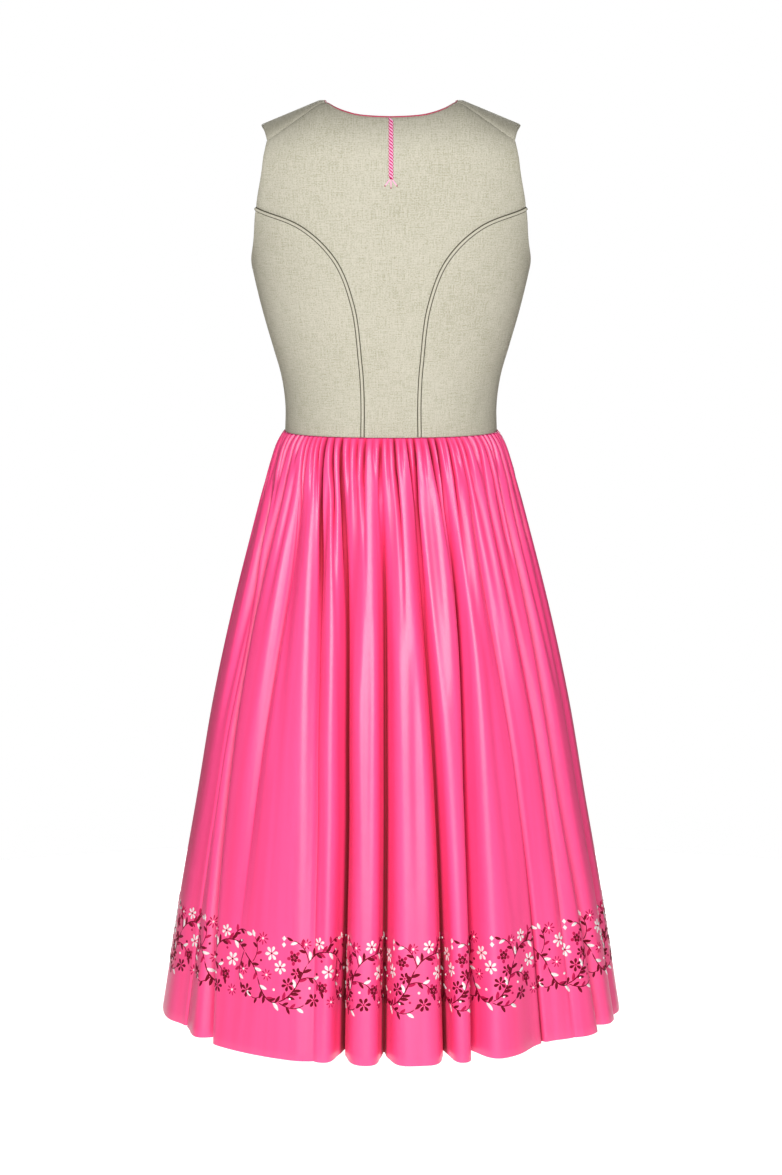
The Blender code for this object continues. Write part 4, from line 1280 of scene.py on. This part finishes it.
def flower_stitches(flower, x, y, rise):
    """The petals and the middle of one flower, in metres round its place, by thread."""
    made = {"white": [], "burgundy": [], "crimson": []}
    r = FLOWER_LARGER * flower.size / 1000

    def ring(count, root, length, width, shape, thread, turn=0.0, up=1.0):
        for i in range(count):
            angle = flower.turn + turn + 360.0 * i / count
            dx = root * math.cos(math.radians(angle))
            dy = root * math.sin(math.radians(angle))
            made[thread].append(petal(x + dx, y + dy, angle, length, width, shape, rise * up))

    def knot(radius, thread, up=1.6):
        made[thread].append(petal(x - radius, y, 0, 2 * radius, 2 * radius, ROUND, rise * up))

    if flower.kind == "daisy":
        ring(6, 0.0011, r - 0.0011, 0.48 * r, PETAL, flower.thread)
        knot(0.0012, "burgundy" if flower.thread == "white" else "crimson")
    elif flower.kind == "star":
        ring(8, 0.0015, r - 0.0015, 0.25 * r, PETAL, flower.thread)
        knot(0.0015, "white")
    elif flower.kind == "rosette":
        ring(5, 0.0042, r - 0.0042, 0.0046, ROUND, "crimson", 36.0, 0.8)
        ring(5, 0.0010, 0.0046, 0.0043, ROUND, flower.thread)
        knot(0.0011, "crimson")
    elif flower.kind == "diamonds":
        for up in (0.0, 2.25 * r):
            made[flower.thread].append(petal(x, y + up - r, 90, 2 * r, 1.9 * r, DIAMOND, rise))
    else:
        knot(r, flower.thread, 1.3)
    return made


def border_stitches(squeeze, rise):
    """One repeat of the chart, in metres, as (middle x, stitch) by thread."""
    made = {"white": [], "burgundy": [], "crimson": []}

    def keep(thread, stitch):
        made[thread].append((float(stitch.path[:, 0].mean()), stitch))

    for vine in VINES:
        path = bezier(vine, 14) * (squeeze / 1000, 1 / 1000)
        keep("burgundy", vine_stitch(path, VINE_WIDER * vine.width / 1000, rise * 0.9))
    for leaf in LEAVES:
        path = bezier(VINES[leaf.vine], 40) * (squeeze / 1000, 1 / 1000)
        i = min(int(leaf.at * 40), 39)
        way = path[i + 1] - path[i]
        angle = math.degrees(math.atan2(way[1], way[0])) + leaf.side * (46 if leaf.at < 1 else 8)
        x, y = path[i + 1] if leaf.at == 1 else path[i]
        length, width = LEAF_LONGER * leaf.length / 1000, LEAF_WIDER * leaf.width / 1000
        keep(leaf.thread, petal(x, y, angle, length, width, POINTED, rise, -0.25 * leaf.side))
    for flower in FLOWERS:
        parts = flower_stitches(flower, flower.x * squeeze / 1000, flower.y / 1000, rise)
        for thread, stitches in parts.items():
            for stitch in stitches:
                keep(thread, stitch)
    return made


# ---------------------------------------------------------------- operators
class BuildSkirt(bpy.types.Operator):
    """Gather the satin skirt into the waist seam, in its back and front halves"""

    bl_idname = "dirndl.skirt"
    bl_label = "Skirt"

    def execute(self, context):
        skirt_half("skirt_back", slice(0, SKIRT_COLUMNS + 1))
        skirt_half("skirt_front", slice(SKIRT_COLUMNS, None))
        return {"FINISHED"}


class BuildBodice(bpy.types.Operator):
    """Cut and join the seven linen panels of the bodice"""

    bl_idname = "dirndl.bodice"
    bl_label = "Bodice"

    def execute(self, context):
        for panel in bodice_panels():
            bodice_panel(panel, context.scene.dirndl_sizes)
        return {"FINISHED"}


def frames(turn, level, rise=0.0):
    """Points along a line on the bodice, its normal, and the direction to its side."""
    normal = bodice_normal(turn, level)
    points = bodice_point(turn, level)
    points = points + normal * np.broadcast_to(rise, turn.shape)[:, None]
    along = unit(np.gradient(points, axis=0))
    return points, normal, np.cross(along, normal)


class BuildBackPiping(bpy.types.Operator):
    """Lay the self-fabric piping on the two curved back seams, with its sunken stitching and
    painted shade in the ditch beside the cord
    """

    bl_idname = "dirndl.back_piping"
    bl_label = "Back piping"

    def execute(self, context):
        sizes = context.scene.dirndl_sizes
        seam = line(BACK_SEAM, 2 * SEAM_ROWS)
        half, high = sizes.piping_width / 2, sizes.piping_height
        # Across the strip: a low flange on each side, the ditch beside the cord, the cord.
        profile = [(half + 0.0009, -0.0001), (half + 0.0005, 0.00030)]
        angles = np.linspace(0, math.pi, 11)
        profile += [(half * math.cos(a), 0.0002 + high * math.sin(a) ** 0.8) for a in angles]
        profile += [(-half - 0.0005, 0.00030), (-half - 0.0009, -0.0001)]
        for name, path in (("piping_back_left", seam), ("piping_back_right", mirrored(seam))):
            points, normal, side = frames(path[:, 0], path[:, 1])
            length = run(points)
            rings, places = [], []
            for i in range(len(points)):
                rings.append([points[i] + side[i] * x + normal[i] * h for x, h in profile])
                places += [(x, length[i]) for x, h in profile]
            rings[0] = [point + np.array([0.0, 0.0, 0.0004]) for point in rings[0]]
            strip(name, rings, places, seam_linen(), [name])
        return {"FINISHED"}


def from_the_front(path):
    return np.stack([-path[:, 0], 2 * SHOULDER_Z + SHOULDER_R * math.pi - path[:, 1]], axis=1)


def neck_path():
    """The whole neckline, from the end of the right lap by the back to the left front."""
    left = front_neck(-LAP_HALF)
    right = mirrored(left)
    x = bodice_point(*left.T)[:, 0]
    start = [np.interp(LAP_HALF + LAP_GAP, x[:9], left[:9, i]) for i in (0, 1)]
    left = np.concatenate([[start], left[x > LAP_HALF + 2 * LAP_GAP]])
    half = line(BACK_NECK, BACK_NECK_COLUMNS)
    back = joined(mirrored(half), half[::-1])
    return joined(right, from_the_front(back), left[::-1])


class BuildNeckPiping(bpy.types.Operator):
    """Run the rose piping round the neckline"""

    bl_idname = "dirndl.neck_piping"
    bl_label = "Neck piping"

    def execute(self, context):
        radius = context.scene.dirndl_sizes.neck_piping
        path = neck_path()
        rise = lap_rise(bodice_point(*path.T)) * (np.arange(len(path)) <= NECK_ROWS)
        points, normal, side = frames(path[:, 0], path[:, 1], rise)
        length = run(points)
        rings, places = [], []
        for i in range(len(points)):
            middle = points[i] - normal[i] * BODICE_WALL / 2 + side[i] * (0.5 * radius)
            ring = []
            for angle in np.linspace(-0.5 * math.pi, 1.5 * math.pi, 12, endpoint=False):
                offset = side[i] * math.cos(angle) + normal[i] * math.sin(angle)
                ring.append(middle + offset * radius)
                places.append((angle * radius, length[i]))
            rings.append(ring)
        strip("neck_piping", rings, places, piped_cotton(), ["neck_piping"])
        return {"FINISHED"}


def on_body(side, rise=0.0):
    """A way to put stitches on the bodice, by how they look from behind or in front."""

    def place(x, z, lift):
        right = -x if side == "back" else x
        turns = np.array([on_bodice(Mark(side, a, b)) for a, b in zip(right, z)])
        return bodice_point(*turns.T) + bodice_normal(*turns.T) * (lift + rise)[:, None]

    return place


ROPE_TOP, ROPE_FOOT, ROPE_KNOT_Z = -0.0080, -0.0772, -0.0778
ROPE_PITCH = 0.0038  # from one turn of a strand to the next
ROPE_SLANT = 0.0068  # how far a strand falls on its way across
ROPE_WAVE = 0.0007
Strand = namedtuple("Strand", "thread shift rise half_width")  # shifted by a share of a turn
ROPE_STRANDS = (Strand("rose", 0, 0.0014, 0.00115), Strand("fuchsia", 0.5, 0.0009, 0.00100))
CROW_FOOT = ((0.0070, -0.0865), (0.0, -0.0889), (-0.0070, -0.0865))  # its prongs' ends


class BuildRopeStitch(bpy.types.Operator):
    """Work the twisted rope stitch down the centre back, with its knot and three prongs"""

    bl_idname = "dirndl.rope_stitch"
    bl_label = "Centre-back rope stitch"

    def execute(self, context):
        width = context.scene.dirndl_sizes.rope_width
        strands = {"rose": [], "fuchsia": [], "wine": []}
        self.rope(strands, width)
        self.crow_foot(strands)
        for name, stitches in strands.items():
            stitched("rope_stitch_" + name, stitches, on_body("back"), thread(name))
        return {"FINISHED"}

    def rope(self, strands, width):
        """Two slanting strands by turns, each turn caught down at both edges."""
        t = np.linspace(0, 1, STEPS + 1)
        x = (t - 0.5) * width
        drop = (t - 0.5) * ROPE_SLANT + ROPE_WAVE * np.sin(2 * math.pi * t)
        turns = round((ROPE_TOP - ROPE_FOOT) / ROPE_PITCH)
        for i in range(turns):
            z = ROPE_TOP - (i + 0.5) * (ROPE_TOP - ROPE_FOOT) / turns
            for strand in ROPE_STRANDS:
                path = np.column_stack([x, z - strand.shift * ROPE_PITCH - drop])
                half_width = ROUND**0.6 * strand.half_width
                strands[strand.thread].append(Stitch(path, half_width, strand.rise, 4, 0.5))
            for edge, shift in ((-width / 2, 0.9), (width / 2, 0.1)):
                self.knot(strands, edge, z + shift * ROPE_PITCH - 0.0021, 0.0006, 0.00075, 0.0009)

    def crow_foot(self, strands):
        """The knot under the rope and its three prongs, each with its own small knot."""
        t = np.linspace(0, 1, STEPS + 1)[:, None]
        for x, z in CROW_FOOT:
            start = np.array([0.10 * x, ROPE_KNOT_Z])
            path = start + (np.array([x, z]) - start) * t
            strands["rose"].append(Stitch(path, np.maximum(ROUND, 0.7) * 0.00085, 0.0009, 4, 0.5))
            self.knot(strands, x, z, 0.0009, 0.0009, 0.0012)
        self.knot(strands, 0.0, ROPE_KNOT_Z, 0.0017, 0.0013, 0.0016)

    def knot(self, strands, x, z, half_width, half_height, rise):
        made = petal(x - half_width, z, 0, 2 * half_width, 2 * half_height, ROUND, rise)
        strands["wine"].append(made)


class BuildBorder(bpy.types.Operator):
    """Embroider the floral border round the skirt above the hem"""

    bl_idname = "dirndl.border"
    bl_label = "Embroidered border"

    def execute(self, context):
        sizes = context.scene.dirndl_sizes
        length = border_run()
        half = length[SKIRT_COLUMNS]
        repeat = length[-1] / sizes.border_repeats
        chart = border_stitches(repeat * 1000 / CHART_WIDTH, sizes.thread_lift)
        for name, stitches in chart.items():
            sides = {"back": [], "front": []}
            for number in range(sizes.border_repeats):
                for middle, stitch in stitches:
                    moved = stitch._replace(path=stitch.path + (number * repeat, sizes.border_foot))
                    at = (middle + number * repeat) % length[-1]
                    sides["back" if at < half else "front"].append(moved)
            for side, placed in sides.items():
                stitched(f"border_{side}_{name}", placed, on_skirt, thread(name))
        return {"FINISHED"}


def stitch_row(path, inwards, rise, sizes):
    """Topstitches beside a line on the bodice, inwards from it, as points and frames."""
    points, normal, side = frames(path[:, 0], path[:, 1], rise)
    points = points + side * inwards
    length = run(points)
    step = sizes.stitch + sizes.stitch_gap
    count = int(length[-1] / step)
    starts = (np.arange(count) + 0.5) * length[-1] / count - sizes.stitch / 2
    return points, normal, side, length, starts


BEAD_HALF = 0.00030  # half the width of a topstitch
BEAD_RISE = 0.00038
FROM_EDGE = 0.0026  # from an edge to its topstitches
FROM_SHOULDER = 0.0016
# The bars of a buttonhole: where each begins and ends, across and up from its button.
HOLE_BARS = (
    ((-0.0140, 0.0010), (0.0020, 0.0010)),
    ((-0.0140, -0.0010), (0.0020, -0.0010)),
    ((-0.0146, -0.0019), (-0.0146, 0.0019)),
)
HOLE_STEPS = 12


class BuildTopstitching(bpy.types.Operator):
    """Topstitch the armholes, the straps and the front edge, and work the buttonholes"""

    bl_idname = "dirndl.topstitching"
    bl_label = "Topstitching"

    def execute(self, context):
        sizes = context.scene.dirndl_sizes
        fine = 4 * LINE_STEPS // 3
        arm = joined(line(UNDERARM_FRONT, fine), line(FRONT_ARMHOLE, fine))
        back_arm = joined(line(UNDERARM_BACK, fine), line(BACK_ARMHOLE, fine))
        shoulder = line(FRONT_SHOULDER, fine)
        rows = []
        for path, inwards in (
            (arm, -FROM_EDGE), (back_arm, FROM_EDGE), (shoulder, -FROM_SHOULDER)
        ):
            rows.append((path, inwards, 0.0))
            rows.append((mirrored(path), -inwards, 0.0))
        rows.append((mirrored(front_opening(-LAP_HALF, fine)), FROM_EDGE, LAP_RISE))
        places = []
        for path, inwards, rise in rows:
            points, normal, side, length, starts = stitch_row(path, inwards, rise, sizes)
            for start in starts:
                places.append((start, points, normal, side, length))
        self.lay(places, sizes)
        self.buttonholes()
        return {"FINISHED"}

    def buttonholes(self):
        """Worked buttonholes in the right front, each running back from under its button."""
        t = np.linspace(0, 1, HOLE_STEPS + 1)[:, None]
        half_width = np.full(HOLE_STEPS + 1, 0.0008)
        holes = []
        for i in range(BUTTONS):
            button = np.array([0.0, BUTTON_TOP_Z - i * BUTTON_STEP])
            for start, end in HOLE_BARS:
                path = button + np.array(start) * (1 - t) + np.array(end) * t
                holes.append(Stitch(path, half_width, 0.0005, 4, 0.0))
        stitched("buttonholes", holes, on_body("front", LAP_RISE), linen_thread())

    def lay(self, places, sizes):
        """Turn each stitch into a small bead of thread."""
        bm = bmesh.new()
        corners, cloth_places = [], []
        for start, points, normal, side, length in places:
            made = bmesh.ops.create_grid(bm, x_segments=3, y_segments=2, size=1.0)
            corner = np.array([vert.co[:2] for vert in made["verts"]])
            at = start + (corner[:, 0] + 1) / 2 * sizes.stitch
            read = [
                np.stack([np.interp(at, length, grid[:, k]) for k in range(3)], axis=1)
                for grid in (points, normal, side)
            ]
            crown = 1 - np.abs(corner[:, 1])
            ends = 1 - np.abs(corner[:, 0]) ** 6
            lift = BEAD_RISE * crown * np.maximum(ends, 0.15) - SUNK
            wide = -BEAD_HALF * corner[:, 1]
            corners.append(read[0] + read[1] * lift[:, None] + read[2] * wide[:, None])
            cloth_places.append(np.column_stack([at, wide]))
        mesh = bpy.data.meshes.new("topstitching")
        bm.to_mesh(mesh)
        bm.free()
        move_to(mesh, np.concatenate(corners))
        map_cloth(mesh, np.concatenate(cloth_places))
        add_piece("topstitching", mesh, linen_thread())


BUTTON_SIDES = 48
BUTTON_PETALS = 8
BUTTON_ROPE = 24  # turns of the rope round its rim
BUTTON_RELIEF = 0.00042
DOME_SHARES = (0.97, 0.92, 0.86, 0.80, 0.74, 0.68, 0.6, 0.5, 0.4, 0.3, 0.2, 0.10, 0.0)


class BuildButtons(bpy.types.Operator):
    """Cast the seven pewter buttons and set them down the front"""

    bl_idname = "dirndl.buttons"
    bl_label = "Buttons"

    def execute(self, context):
        sizes = context.scene.dirndl_sizes
        for i in range(BUTTONS):
            self.button(f"button_{i + 1}", BUTTON_TOP_Z - i * BUTTON_STEP, sizes)
        return {"FINISHED"}

    def button(self, name, z, sizes):
        """A domed button with a roped rim and an eight-petalled rosette in relief."""
        turns = np.array([on_bodice(Mark("front", 0.0, z))])
        normal = Vector(bodice_normal(*turns.T)[0])
        place = Vector(bodice_point(*turns.T)[0]) + normal * (LAP_RISE + BUTTON_SHANK)
        bm = self.dome(sizes.button, sizes.button_height)
        relief = self.press(bm, sizes.button, 0.3 * sizes.button_height)
        facing = normal.to_track_quat("Z", "Y").to_matrix().to_4x4()
        bmesh.ops.transform(bm, matrix=facing, verts=bm.verts)
        bmesh.ops.translate(bm, vec=place, verts=bm.verts)
        mesh = bpy.data.meshes.new(name)
        bm.to_mesh(mesh)
        bm.free()
        layer = mesh.attributes.new("relief", "FLOAT", "POINT")
        layer.data.foreach_set("value", relief)
        add_piece(name, mesh, pewter(), [name])

    def dome(self, r, h):
        """The plain button: a flat back, a rounded edge and a dome, turned about +Z."""
        profile = [(0.0, 0.0), (0.5 * r, 0.0), (0.80 * r, 0.0), (0.94 * r, 0.12 * h)]
        profile += [(r, 0.25 * h)]
        profile += [(r * share, h * (0.98 - 0.60 * share**2.2)) for share in DOME_SHARES]
        bm = bmesh.new()
        verts = [bm.verts.new((radius, 0.0, height)) for radius, height in profile]
        edges = [bm.edges.new(pair) for pair in zip(verts, verts[1:])]
        bmesh.ops.spin(
            bm, geom=verts + edges, axis=(0, 0, 1), cent=(0, 0, 0), angle=2 * math.pi,
            steps=BUTTON_SIDES, use_merge=True,
        )
        bmesh.ops.remove_doubles(bm, verts=bm.verts, dist=1e-6)
        bmesh.ops.recalc_face_normals(bm, faces=bm.faces)
        return bm

    def press(self, bm, radius, dome_foot):
        """Raise the petals, the boss and the rope on the dome, and say where it is raised."""
        relief = []
        for vert in bm.verts:
            share = math.hypot(vert.co.x, vert.co.y) / radius
            turn = math.atan2(vert.co.y, vert.co.x)
            petals = 0.5 + 0.5 * math.cos(BUTTON_PETALS * turn)
            twist = 0.75 + 0.25 * math.cos(BUTTON_ROPE * turn)
            body = math.exp(-(((share - 0.40) / 0.20) ** 2)) * petals
            boss = math.exp(-((share / 0.11) ** 2))
            rope = math.exp(-(((share - 0.86) / 0.055) ** 2)) * twist
            on_dome = vert.co.z > dome_foot
            raised = max(body, boss, rope) if on_dome else 0.4
            relief.append(raised)
            if on_dome:
                vert.co.z += (raised - 0.6) * BUTTON_RELIEF
        return relief


FLOOR_DROP = 0.46  # below the hem: the wearer's lower legs
FLOOR_RADIUS = 2.6
WARM_LIGHT = (1.0, 0.90, 0.72)
LAMP_WIDTH = 0.6
LAMP_HEIGHT = 1.5
LAMPS_AIM_Z = -0.48
Lamp = namedtuple("Lamp", "name x y z watts")
LAMPS = (
    Lamp("left", 0.60, 3.0, 0.50, 66.0),
    Lamp("right", -0.60, 3.0, 0.45, 54.0),
    Lamp("front_left", 0.60, -3.0, 0.50, 54.0),
    Lamp("front_right", -0.60, -3.0, 0.50, 66.0),
)
VIEW_DISTANCE = 3.2
VIEW_Z = -0.081
VIEW_DOWN = 8.7836  # degrees
VIEW_LENS = 80.56  # millimetres


class BuildStage(bpy.types.Operator):
    """Set up the pale floor and backdrop, the soft lights and the camera"""

    bl_idname = "dirndl.stage"
    bl_label = "Stage"

    def execute(self, context):
        self.floor()
        self.lights(context)
        self.camera(context)
        return {"FINISHED"}

    def floor(self):
        """A round pale floor under the dress."""
        bm = bmesh.new()
        bmesh.ops.create_circle(bm, cap_ends=True, segments=96, radius=FLOOR_RADIUS)
        bmesh.ops.translate(bm, vec=(0, 0, HEM_Z - FLOOR_DROP), verts=bm.verts)
        mesh = bpy.data.meshes.new("studio_floor")
        bm.to_mesh(mesh)
        bm.free()
        mesh.materials.append(studio_white())
        made = bpy.data.objects.new("studio_floor", mesh)
        bpy.context.scene.collection.objects.link(made)

    def lights(self, context):
        """Four tall soft lamps, two behind the dress and two before it."""
        scene = context.scene
        scene.view_settings.view_transform = "Standard"
        scene.world = self.surroundings()
        for lamp in LAMPS:
            data = bpy.data.lights.new(lamp.name, "AREA")
            data.shape = "RECTANGLE"
            data.size = LAMP_WIDTH
            data.size_y = LAMP_HEIGHT
            data.energy = lamp.watts
            made = bpy.data.objects.new(lamp.name, data)
            made.location = (lamp.x, lamp.y, lamp.z)
            way = Vector((0, 0, LAMPS_AIM_Z)) - made.location
            made.rotation_euler = way.to_track_quat("-Z", "Y").to_euler()
            made.visible_camera = False
            scene.collection.objects.link(made)

    def surroundings(self):
        """A white studio that lights the dress softly, and less from above."""
        world = bpy.data.worlds.new("studio")
        world.use_nodes = True
        tree = world.node_tree
        tree.nodes.remove(tree.nodes["Background"])
        nodes = Nodes(tree)
        upwards = nodes.node("SeparateXYZ", 2, in_0=nodes.node("TexCoord", 0))
        glow = nodes.node("MapRange", 0, in_0=upwards, in_1=0.1, in_2=0.9, in_3=0.10, in_4=0.04)
        light = nodes.node("Background", 0, Color=WARM_LIGHT, Strength=glow)
        white = nodes.node("Background", 0, Color=(1.0, 1.0, 1.0))
        seen = nodes.node("LightPath", "Is Camera Ray")
        shown = nodes.node("MixShader", 0, in_0=seen, in_1=light, in_2=white)
        tree.links.new(shown.socket, tree.nodes["World Output"].inputs["Surface"])
        return world

    def camera(self, context):
        """The photograph's view of the back, tilted a little down."""
        data = bpy.data.cameras.new("photo_view")
        data.sensor_width = 36.0
        data.lens = VIEW_LENS
        data.clip_end = 20.0
        made = bpy.data.objects.new("photo_view", data)
        made.location = (0.0, VIEW_DISTANCE, VIEW_Z)
        made.rotation_euler = (math.radians(90 - VIEW_DOWN), 0.0, math.pi)
        context.scene.collection.objects.link(made)
        context.scene.camera = made


OPERATORS = (
    BuildSkirt,
    BuildBodice,
    BuildBackPiping,
    BuildNeckPiping,
    BuildRopeStitch,
    BuildBorder,
    BuildTopstitching,
    BuildButtons,
    BuildStage,
)


class DirndlPanel(bpy.types.Panel):
    """Lists the dress's sizes, colours and building steps"""

    bl_idname = "VIEW3D_PT_dirndl"
    bl_label = "Dirndl"
    bl_space_type = "VIEW_3D"
    bl_region_type = "UI"
    bl_category = "Dirndl"

    def draw(self, context):
        for group in (context.scene.dirndl_sizes, context.scene.dirndl_colours):
            box = self.layout.box()
            for name in group.__annotations__:
                box.prop(group, name)
        for operator in OPERATORS:
            self.layout.operator(operator.bl_idname)


CLASSES = (DirndlSizes, DirndlColours, *OPERATORS, DirndlPanel)


def register():
    for item in CLASSES:
        bpy.utils.register_class(item)
    bpy.types.Scene.dirndl_sizes = PointerProperty(type=DirndlSizes)
    bpy.types.Scene.dirndl_colours = PointerProperty(type=DirndlColours)


def unregister():
    del bpy.types.Scene.dirndl_colours
    del bpy.types.Scene.dirndl_sizes
    for item in reversed(CLASSES):
        bpy.utils.unregister_class(item)


def main():
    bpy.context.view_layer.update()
    register()
    for operator in OPERATORS:
        group, name = operator.bl_idname.split(".")
        getattr(getattr(bpy.ops, group), name)()


if __name__ == "__main__":
    main()
